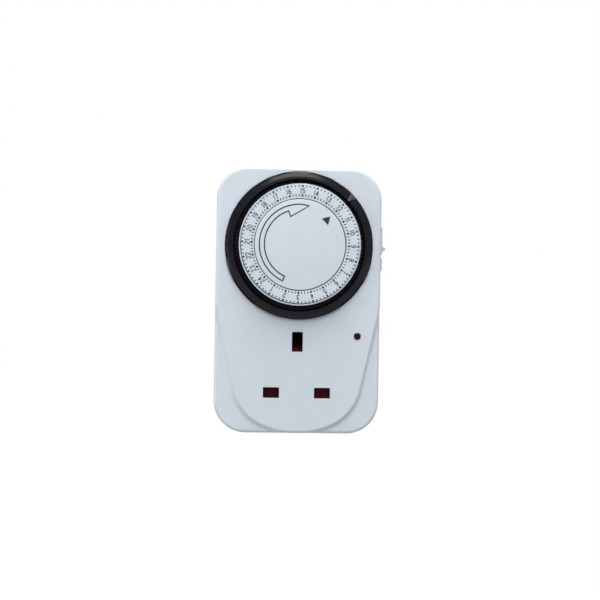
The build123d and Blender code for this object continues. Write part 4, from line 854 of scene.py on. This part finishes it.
# ---------------------------------------------------------------- dial
def bezel_surface(count=1440):
    """The black ring with its collar and the notches in its outer edge.

    Formula: a rounded profile turned about the dial's axis, with a lip over the tappets'
    outer ends, a shallow slope and a steeper one; where the clockwise angle from the top
    is within a notch, a second profile takes its place, in which the slope ends 1.05 mm
    further in and drops to a floor just above the housing's face.
    """
    inner, outer, foot = BEZEL_RADIUS - 2.8, BEZEL_RADIUS, BEZEL_LOW[1]
    crest, bend, shoulder = (inner - 0.9, FACE + 2.38), (inner + 0.95, FACE + 2.1), FACE + 1.15
    floor, reach, under = FACE + 0.25, BEZEL_RADIUS - 1.05, FACE + 1.45
    edge = np.interp(reach, [bend[0], outer], [bend[1], shoulder])
    start = [(inner, foot), (inner, under), (crest[0], under), crest, bend]
    end = [(outer, FACE + 0.01), (inner + 1.0, FACE + 0.01), (inner + 1.0, foot)]
    whole, cut_back = (
        rounded([*start, *drop, (outer, floor), *end], [0, 0, 0.1, 0.25, 1.2, fillet, 0, 0, 0, 0, 0], steps=7)
        for drop, fillet in (
            ([(outer, shoulder), (outer, floor + 0.05)], 0.12),
            ([(reach, edge), (reach, floor)], 0.08),
        )
    )
    angle = np.linspace(0, 2 * pi, count, endpoint=False)
    clockwise = np.degrees(angle)
    from_top = np.minimum(clockwise, 360 - clockwise)
    notched = np.zeros(count, dtype=bool)
    for low, high in NOTCHES:
        notched |= (from_top > low) & (from_top < high)
    radius, depth = np.moveaxis(np.where(notched[:, None, None], cut_back, whole), -1, 0)
    flat = np.stack([radius * np.sin(angle)[:, None], DIAL_Z + radius * np.cos(angle)[:, None]], -1)
    low_rows = np.arange(len(whole)) > len(whole) - 7  # the drop, the floor and what lies below
    paint = (notched[:, None] & low_rows[None, :]).astype(np.int32)
    return closed_surface(front(flat, depth), wrap_v=True, paint=paint)


def dial_place(side, out, clockwise, shift=(0, 0)):
    """Front-view places beside and along a line from the dial's middle, clockwise degrees from the top.

    Formula: (s cos t + r sin t, z0 - s sin t + r cos t), moved by the shift.
    """
    turn = np.radians(clockwise)
    x = side * np.cos(turn) + out * np.sin(turn) + shift[0]
    z = DIAL_Z - side * np.sin(turn) + out * np.cos(turn) + shift[1]
    return np.stack(np.broadcast_arrays(x, z), -1)


def hour_angle(hour):
    """Clockwise degrees from the top of the dial to an hour's line; the hours run the other way."""
    return POINTER_ANGLE + DIAL_SETTING + (12 - hour) * 4 * QUARTER


def polar(radius, clockwise, shift=(0, 0)):
    """Front-view place at a radius and a clockwise angle in degrees from the top of the dial."""
    return dial_place(0, np.asarray(radius), np.asarray(clockwise), shift)


def pointer_surface(low_share, high_share, rise, width=3.6, count_u=24, count_v=17):
    """Wedge on the ring that points inwards.

    Formula: u runs outwards from tip to rim and v across, from low_share to high_share;
    x = v (0.25 + (width/2 - 0.25) u), radius runs from 28.6 to 31.9, height =
    38.7 - 1.1 u - 0.2 v^2 + rise, and the same outline below inside the ring.
    """
    u = np.linspace(0, 1, count_u)[:, None]
    v = np.linspace(low_share, high_share, count_v)[None, :]
    out = BEZEL_RADIUS - 3.7 + 3.3 * u + 0 * v
    flat = dial_place(v * (0.25 + (width / 2 - 0.25) * u), out, WEDGE_ANGLE)
    top = FACE + 2.7 - 1.1 * u - 0.2 * v**2 + rise
    under = np.where(out > BEZEL_RADIUS - 2.5, FACE + 0.6, FACE + 1.6)
    return thick_sheet(front(flat, top), front(flat, under))


class TIMER_OT_bezel(bpy.types.Operator):
    """Build the black ring with its time pointer"""

    bl_idname = "timer.bezel"
    bl_label = "Dial ring"

    def execute(self, context):
        ring, finishes = bezel_surface(), ("ring_black", "notch_maroon")
        place("bezel_ring", ring, "case", *finishes, replaces=("dial_bezel",), slot="black_plastic")
        wedge, line = pointer_surface(-0.84, 1, 0), pointer_surface(-1.12, -0.8, 0.03)
        place("time_pointer", wedge, "case", "pointer_grey", slot="black_plastic")
        place("pointer_edge", line, "case", "pointer_line")
        return {"FINISHED"}


def plate_surface(inner, low, top):
    """The printed plate: a flat ring whose hole and rim stand a little to different sides.

    Formula: a ring turned about the dial's axis, moved by the hole's shift at its inner
    edge, by the plate's shift from 24 mm outwards, and by a share of both between.
    """
    profile = [(inner, low - 0.1), (inner, top), (PLATE_RADIUS, top), (PLATE_RADIUS, low - 0.1)]
    mesh = turned(rounded(profile, [0, 0.1, 0.06, 0]))
    points = np.empty(len(mesh.vertices) * 3)
    mesh.vertices.foreach_get("co", points)
    points = points.reshape(-1, 3)
    from_axis = np.hypot(points[:, 0], points[:, 2] - DIAL_Z * MM)
    share = np.interp(from_axis, [(inner + 0.5) * MM, 24 * MM], [0, 1])
    for axis, hole, rim in zip((0, 2), HOLE_SHIFT, PLATE_SHIFT):
        points[:, axis] += (hole + share * (rim - hole)) * MM
    mesh.vertices.foreach_set("co", points.ravel())
    return mesh


class TIMER_OT_drum(bpy.types.Operator):
    """Build the turning scale drum and the fixed centre disc"""

    bl_idname = "timer.drum"
    bl_label = "Scale drum and disc"

    def execute(self, context):
        top = DRUM_TOP - SKIN
        inner, wall = DISC_RADIUS + DISC_GROOVE, DRUM_RADIUS - 1.9
        low, lip, hub, bore = top - 1.4, top - LIP_DROP, 6.0, 1.9
        profile = [
            (wall, DRUM_FOOT), (wall, DISC_UNDER), (inner, DISC_UNDER), (inner, low),
            (RECESS, low), (RECESS, lip), (DRUM_RADIUS, lip), (DRUM_RADIUS, DRUM_FOOT),
        ]
        drum = turned(rounded(profile, [0, 0, 0, 0, 0, 0.06, 0.12, 0]))
        place("scale_drum_finished", drum, "dial", "dial_white", replaces=("scale_drum",), slot="dial_white")
        place("scale_plate", plate_surface(inner, low, top), "dial", "dial_white")
        # A thin black ring at the bottom of the gap round the printed plate: partly the black tappet carrier
        # seen through the gap, partly painted shade in the gap.
        gap_shade_in, gap_shade_out, gap_shade_low, gap_shade_high = PLATE_RADIUS - 0.52, RECESS + 0.05, low - 0.05, low + 0.5
        seat = [(gap_shade_in, gap_shade_low), (gap_shade_in, gap_shade_high), (gap_shade_out, gap_shade_high), (gap_shade_out, gap_shade_low)]
        place("plate_gap_shade_ring", turned(seat), "dial", "tappet_black")
        profile = [
            (0.5, top), (DISC_RADIUS, top), (DISC_RADIUS, DISC_UNDER), (hub, DISC_UNDER), (hub, POST_TOP),
            (bore, POST_TOP), (bore, POST_TOP - 6), (0.4, POST_TOP - 6),
        ]
        profile = rounded(profile, [0, 0.12, 0.1, 0, 0, 0, 0.3, 0])
        disc = turned(profile, wrap=False, poles=(top, POST_TOP - 6))
        place("centre_disc_finished", disc, "case", "dial_white", replaces=("centre_disc",), slot="dial_white")
        return {"FINISHED"}


# Strokes of the digits: x and y of each point in hundredths of the width and height
DIGIT_STROKES = {
    "0": (50, 100, 14, 90, 0, 66, 0, 34, 14, 10, 50, 0, 86, 10, 100, 34, 100, 66, 86, 90, 50, 100),
    "1": (20, 80, 75, 100, 75, 0),
    "2": (2, 74, 12, 93, 50, 100, 88, 92, 98, 72, 85, 52, 20, 20, 0, 0, 100, 0),
    "3": (4, 86, 40, 100, 85, 92, 94, 74, 80, 56, 45, 52, 86, 46, 100, 26, 86, 7, 45, 0, 0, 12),
    "4": (72, 0, 72, 100, 0, 28, 100, 28),
    "5": (92, 100, 16, 100, 6, 54, 50, 62, 90, 54, 100, 30, 86, 7, 45, 0, 0, 10),
    "6": (90, 90, 55, 100, 16, 86, 0, 50, 3, 20, 25, 2, 60, 0, 95, 14, 98, 40, 80, 57, 40, 60, 3, 42),
    "7": (0, 100, 100, 100, 60, 50, 40, 0),
    "8": (50, 54, 14, 62, 5, 80, 20, 96, 50, 100, 80, 96, 95, 80, 86, 62, 50, 54, 10, 44, 0, 22, 16, 5, 50, 0,
          84, 5, 100, 22, 90, 44, 50, 54),
    "9": (10, 10, 45, 0, 84, 14, 100, 50, 97, 80, 75, 98, 40, 100, 5, 86, 2, 60, 20, 43, 60, 40, 97, 58),
}


def stroke_quads(path, width):
    """Flat four-sided pieces of even width along a path, 0.3 of the width longer at each end."""
    first, last = path[:-1], path[1:]
    ahead = (last - first) / np.linalg.norm(last - first, axis=1)[:, None]
    across = np.stack([-ahead[:, 1], ahead[:, 0]], -1) * width / 2
    first, last = first - ahead * width * 0.3, last + ahead * width * 0.3
    return np.stack([first - across, last - across, last + across, first + across], 1)


def number_outlines(height, stroke=0.33):
    """Outlines of the numbers 1 to 24 round the scale, tops outwards.

    Formula: each digit's strokes are scaled to its width and height, set beside the
    number's middle, then turned to (r + y) along and x across its hour's direction.
    """
    digit_width, gap, thin = 0.94, 0.62, 0.3
    outlines = []
    for hour in range(1, 25):
        text = str(hour)
        widths = [thin if digit == "1" else digit_width for digit in text]
        start = -(sum(widths) + gap * (len(text) - 1)) / 2
        for digit, width in zip(text, widths):
            path = np.array(DIGIT_STROKES[digit]).reshape(-1, 2) / 100 * (width, height - stroke)
            quads = stroke_quads(path + (start, NUMBER_RADIUS - (height - stroke) / 2), stroke)
            outlines.extend(dial_place(quads[..., 0], quads[..., 1], hour_angle(hour), PLATE_SHIFT))
            start += width + gap
    return outlines


def tick_outlines():
    """Ticks of the scale: four to the hour at both edges, bold on the hour."""
    outlines = []
    for quarter in range(96):
        half = 2 * TICK_HALF if quarter % 4 == 0 else TICK_HALF
        for near, far in TICK_ROWS:
            radius = np.array([near, far, far, near])
            spread = np.degrees(half / radius) * (-1, -1, 1, 1)
            outlines.append(polar(radius, hour_angle(12) - quarter * QUARTER + spread, PLATE_SHIFT))
    return outlines


def ribbon(path, width, low, high):
    """A line of even width along a closed path.

    Formula: each path point moves half the width to both sides along the mitre of its
    two segments' normals; the four edges, above and below, make one closed band.
    """
    before, after = np.roll(path, 1, axis=0), np.roll(path, -1, axis=0)
    first, second = (
        np.stack([-part[:, 1], part[:, 0]], -1) / np.linalg.norm(part, axis=1)[:, None]
        for part in (path - before, after - path)
    )
    mitre = first + second
    mitre /= np.maximum((mitre * second).sum(axis=1), 0.45)[:, None]
    left, right = path + mitre * width / 2, path - mitre * width / 2
    rows = [front(left, low), front(right, low), front(right, high), front(left, high)]
    return closed_surface(np.stack(rows, 1), wrap_v=True)


def arrow_path():
    """Outline of the turning arrow: two arcs, and a head with one barb."""
    tail, tip, barb, outer, inner, steps = 204.4, 372.9, 341.1, 17.25, 15.1, 60
    radius = [np.full(steps, outer), np.linspace(outer, 17.0, 6), [12.55, inner], np.full(steps, inner)]
    clockwise = [np.linspace(tail, tip, steps + 6), [barb, 341.0], np.linspace(340.2, tail, steps)]
    return polar(np.concatenate(radius), np.concatenate(clockwise), (-0.22, 0))


class TIMER_OT_print(bpy.types.Operator):
    """Print the scale, the turning arrow and the triangle"""

    bl_idname = "timer.print"
    bl_label = "Printed scale"

    def execute(self, context):
        dial = context.scene.timer_dial
        low, high = DRUM_TOP - SKIN - INK, DRUM_TOP - SKIN + INK
        triangle = polar([17.7, 14.55, 14.55], [46.2, 54.7, 38.7])
        for name, mesh, body in (
            ("scale_numbers", plates(number_outlines(dial.number_height), low, high), "dial"),
            ("scale_ticks", plates(tick_outlines(), low, high), "dial"),
            ("turning_arrow", ribbon(arrow_path(), dial.line, low, high), "case"),
            ("set_triangle", plates([triangle], low, high), "case"),
        ):
            place(name, mesh, body, "scale_ink")
        return {"FINISHED"}


def tappets_mesh(hour):
    """The four tappets that follow an hour.

    Formula: cross-sections of (radius, depth) stand to both sides of a radius, at an
    eighth, three eighths and so on of 15 degrees before the hour's line: the stem 0.65 mm
    to each side, the head r tan(1.875 degrees) - 0.09, which leaves an even gap.
    """
    pairs = []
    for quarter in range(4):
        clockwise = hour_angle(hour) - (quarter + 0.5) * QUARTER
        head_half = HEAD[:, 0] * tan(radians(QUARTER / 2)) - HEAD_GAP
        for section, half in ((STEM, STEM_HALF), (HEAD, head_half)):
            radius, depth = section.T
            pairs.append([front(dial_place(side, radius, clockwise), depth) for side in (-half, half)])
    return prisms(pairs)


class TIMER_OT_tappets(bpy.types.Operator):
    """Build the ninety-six push tappets, four to each hour"""

    bl_idname = "timer.tappets"
    bl_label = "Tappets"

    def execute(self, context):
        for hour in range(1, 25):
            name, node = f"tappets_{hour:02d}_finished", f"tappets_hour_{hour:02d}"
            mesh, body = tappets_mesh(hour), f"tappets_{hour:02d}"
            piece = place(name, mesh, body, "tappet_black", replaces=(node,), slot="black_plastic")
            round_edges(piece, 0.11)
        return {"FINISHED"}


# ---------------------------------------------------------------- small parts
class TIMER_OT_lens(bpy.types.Operator):
    """Build the red indicator lens"""

    bl_idname = "timer.lens"
    bl_label = "Indicator lens"

    def execute(self, context):
        radius, rise, foot = 1.48, 0.66, LENS_LOW[1] + 0.05
        angles, base = np.radians([8, 20, 32, 44, 56, 68, 80, 90]), FACE + 0.02
        dome = [(radius * sin(a), base + rise * cos(a)) for a in angles]
        profile = [*dome, (radius, CEILING), (2.3, CEILING), (2.3, foot), (0.4, foot)]
        mesh = turned(profile, count=48, x=LENS_X, z=LENS_Z, wrap=False, poles=(base + rise, foot))
        place("indicator_lens", mesh, "case", "lens_red", replaces=("neon_lens",), slot="lens_red")
        return {"FINISHED"}


class TIMER_OT_moving(bpy.types.Operator):
    """Finish the shutter and the side switch's slider"""

    bl_idname = "timer.moving"
    bl_label = "Shutter and slider"

    def execute(self, context):
        softened("shutter", "shutter_finished", "shutter", "shutter_red", 0.2, "shutter_red")
        softened("override_slider", "slider_finished", "slider", "housing_white", 0.22, "white_plastic")
        return {"FINISHED"}


INSIDE = {
    "can_steel": ("motor_can", "gear_plate"),
    "coil_copper": ("motor_coil",),
    "lead_black": ("motor_leads",),
    "magnet_grey": ("motor_rotor",),
    "shaft_steel": ("gear_shafts",),
    "gear_acetal": ("output_pinion", "clutch_wheel", "clutch_pinion", "dial_gear"),
    "tappet_black": ("tappet_carrier",),
    "lever_nylon": ("cam_lever",),
    "spring_steel": ("shutter_spring",),
    "lamp_glass": ("neon_lamp",),
    # Painted shade: the earth contact gets a near-black colour instead of its brass.
    "earth_contact_painted_shade": ("earth_contact",),
    "resistor_tan": ("neon_resistor",),
    "contact_brass": (
        "neutral_contact", "live_contact", "contact_leaf", "supply_strip", "fixed_contact", "override_bridge",
    ),
}


class TIMER_OT_inside(bpy.types.Operator):
    """Give the parts of the mechanism their finishes"""

    bl_idname = "timer.inside"
    bl_label = "Mechanism"

    def execute(self, context):
        for key, nodes in INSIDE.items():
            for node in nodes:
                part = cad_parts[node]
                if not part.material_slots:
                    raise RuntimeError(f"{node} has no material slot")
                for slot in part.material_slots:
                    slot.material = finish_of(key)
        return {"FINISHED"}


# ---------------------------------------------------------------- stage
def pale_ground(name, colour, shadow, brightness=1.12):
    """Pale paper that shows white behind the object and keeps a share of its shadow."""
    finish = Finish(name)
    paper = finish.blend(finish.noise(3.0, detail=2), shade(colour, 0.985), colour)
    finish.dress({"Base Color": paper}, {"Roughness": 0.8})
    rays = finish.add("LightPath").outputs
    seen = finish.largest(rays["Is Camera Ray"], rays["Is Glossy Ray"], rays["Is Transmission Ray"])
    share = finish.add("Math", {1: 1 - shadow}, {0: seen}, operation="MULTIPLY").outputs[0]
    glow = finish.add("Emission", {"Strength": brightness}).outputs[0]
    mix = finish.add("MixShader", wires={0: share, 1: finish.shader.outputs[0], 2: glow})
    finish.links.new(mix.outputs[0], finish.nodes["Material Output"].inputs["Surface"])
    return finish.material


def surroundings(ambient, room):
    """World that lights evenly, shows white, and gives gloss a dark room in front and white behind."""
    world = bpy.data.worlds.new("surroundings")
    world.use_nodes = True
    tree = Tree(world.node_tree)
    rays = tree.add("LightPath").outputs
    seen = tree.largest(rays["Is Camera Ray"], rays["Is Transmission Ray"])
    plain = tree.between(seen, ambient, 1.0, 0.0, 1.0)
    parts = tree.add("SeparateXYZ", wires={0: tree.add("TexCoord").outputs["Generated"]})
    backdrop = tree.between(parts.outputs["Y"], room, 1.0, -0.55, -0.10)
    strength = tree.add("Mix", wires={"Factor": rays["Is Glossy Ray"], "A": plain, "B": backdrop})
    background = tree.nodes["Background"]
    background.inputs["Color"].default_value = (1, 1, 1, 1)
    tree.links.new(strength.outputs["Result"], background.inputs["Strength"])
    return world


def lamp(name, place_at, target, size, power):
    """A soft lamp, of a given width and height, that faces a point."""
    light = bpy.data.lights.new(name, "AREA")
    light.shape = "RECTANGLE"
    light.size, light.size_y = size
    light.energy = power
    holder = add_object(name, light)
    holder.location = place_at
    holder.rotation_euler = (Vector(target) - Vector(place_at)).to_track_quat("-Z", "Y").to_euler()


class TIMER_OT_stage(bpy.types.Operator):
    """Set up the floor, the lights and the camera"""

    bl_idname = "timer.stage"
    bl_label = "Stage"

    def execute(self, context):
        look = context.scene.timer_stage
        half = look.floor_size / 2
        level = COVER_LOW[2] * MM - look.floor_drop
        mesh = bpy.data.meshes.new("floor")
        corners = [(-half, -half), (half, -half), (half, half), (-half, half)]
        mesh.from_pydata([(*corner, level) for corner in corners], [], [(0, 1, 2, 3)])
        mesh.materials.append(pale_ground("pale_floor", (0.42, 0.42, 0.42), 0.12))
        add_object("floor", mesh)
        context.scene.world = surroundings(look.ambient, look.room)

        middle = (0.0, -0.03, MIDDLE_Z * MM)
        lamp("upper_lamp", (0.0, -0.48, 0.86), middle, (0.46, 0.95), look.upper)
        lamp("left_lamp", (-0.95, -0.36, 0.02), middle, (0.7, 0.7), look.left)
        lamp("right_lamp", (0.95, -0.75, 0.20), middle, (1.1, 1.1), look.right)

        camera = bpy.data.cameras.new("camera")
        camera.sensor_width = 36.0
        camera.lens = CAMERA_LENS
        holder = add_object("camera", camera)
        holder.location = CAMERA_PLACE
        first, second, third = (Matrix.Rotation(radians(turn), 4, axis) for turn, axis in CAMERA_TURN)
        holder.rotation_euler = (first @ second @ third).to_euler()
        context.scene.camera = holder
        context.scene.view_settings.view_transform = "Standard"
        return {"FINISHED"}


# ---------------------------------------------------------------- add-on
OPERATORS = (
    TIMER_OT_housing,
    TIMER_OT_back,
    TIMER_OT_bezel,
    TIMER_OT_drum,
    TIMER_OT_print,
    TIMER_OT_tappets,
    TIMER_OT_lens,
    TIMER_OT_moving,
    TIMER_OT_inside,
    TIMER_OT_stage,
)


class TIMER_PT_panel(bpy.types.Panel):
    """Lists the pieces of the timer switch"""

    bl_idname = "TIMER_PT_panel"
    bl_label = "Timer switch"
    bl_space_type = "VIEW_3D"
    bl_region_type = "UI"
    bl_category = "Timer"

    def draw(self, context):
        scene = context.scene
        for look in (scene.timer_housing, scene.timer_dial, scene.timer_stage):
            for name in look.__annotations__:
                self.layout.prop(look, name)
        for operator in OPERATORS:
            self.layout.operator(operator.bl_idname)


CLASSES = (HousingLook, DialLook, StageLook, *OPERATORS, TIMER_PT_panel)


def register():
    for item in CLASSES:
        bpy.utils.register_class(item)
    bpy.types.Scene.timer_housing = PointerProperty(type=HousingLook)
    bpy.types.Scene.timer_dial = PointerProperty(type=DialLook)
    bpy.types.Scene.timer_stage = PointerProperty(type=StageLook)


def unregister():
    del bpy.types.Scene.timer_stage
    del bpy.types.Scene.timer_dial
    del bpy.types.Scene.timer_housing
    for item in reversed(CLASSES):
        bpy.utils.unregister_class(item)


def main():
    register()
    for operator in OPERATORS:
        group, action = operator.bl_idname.split(".")
        getattr(getattr(bpy.ops, group), action)()


if __name__ == "__main__":
    main()
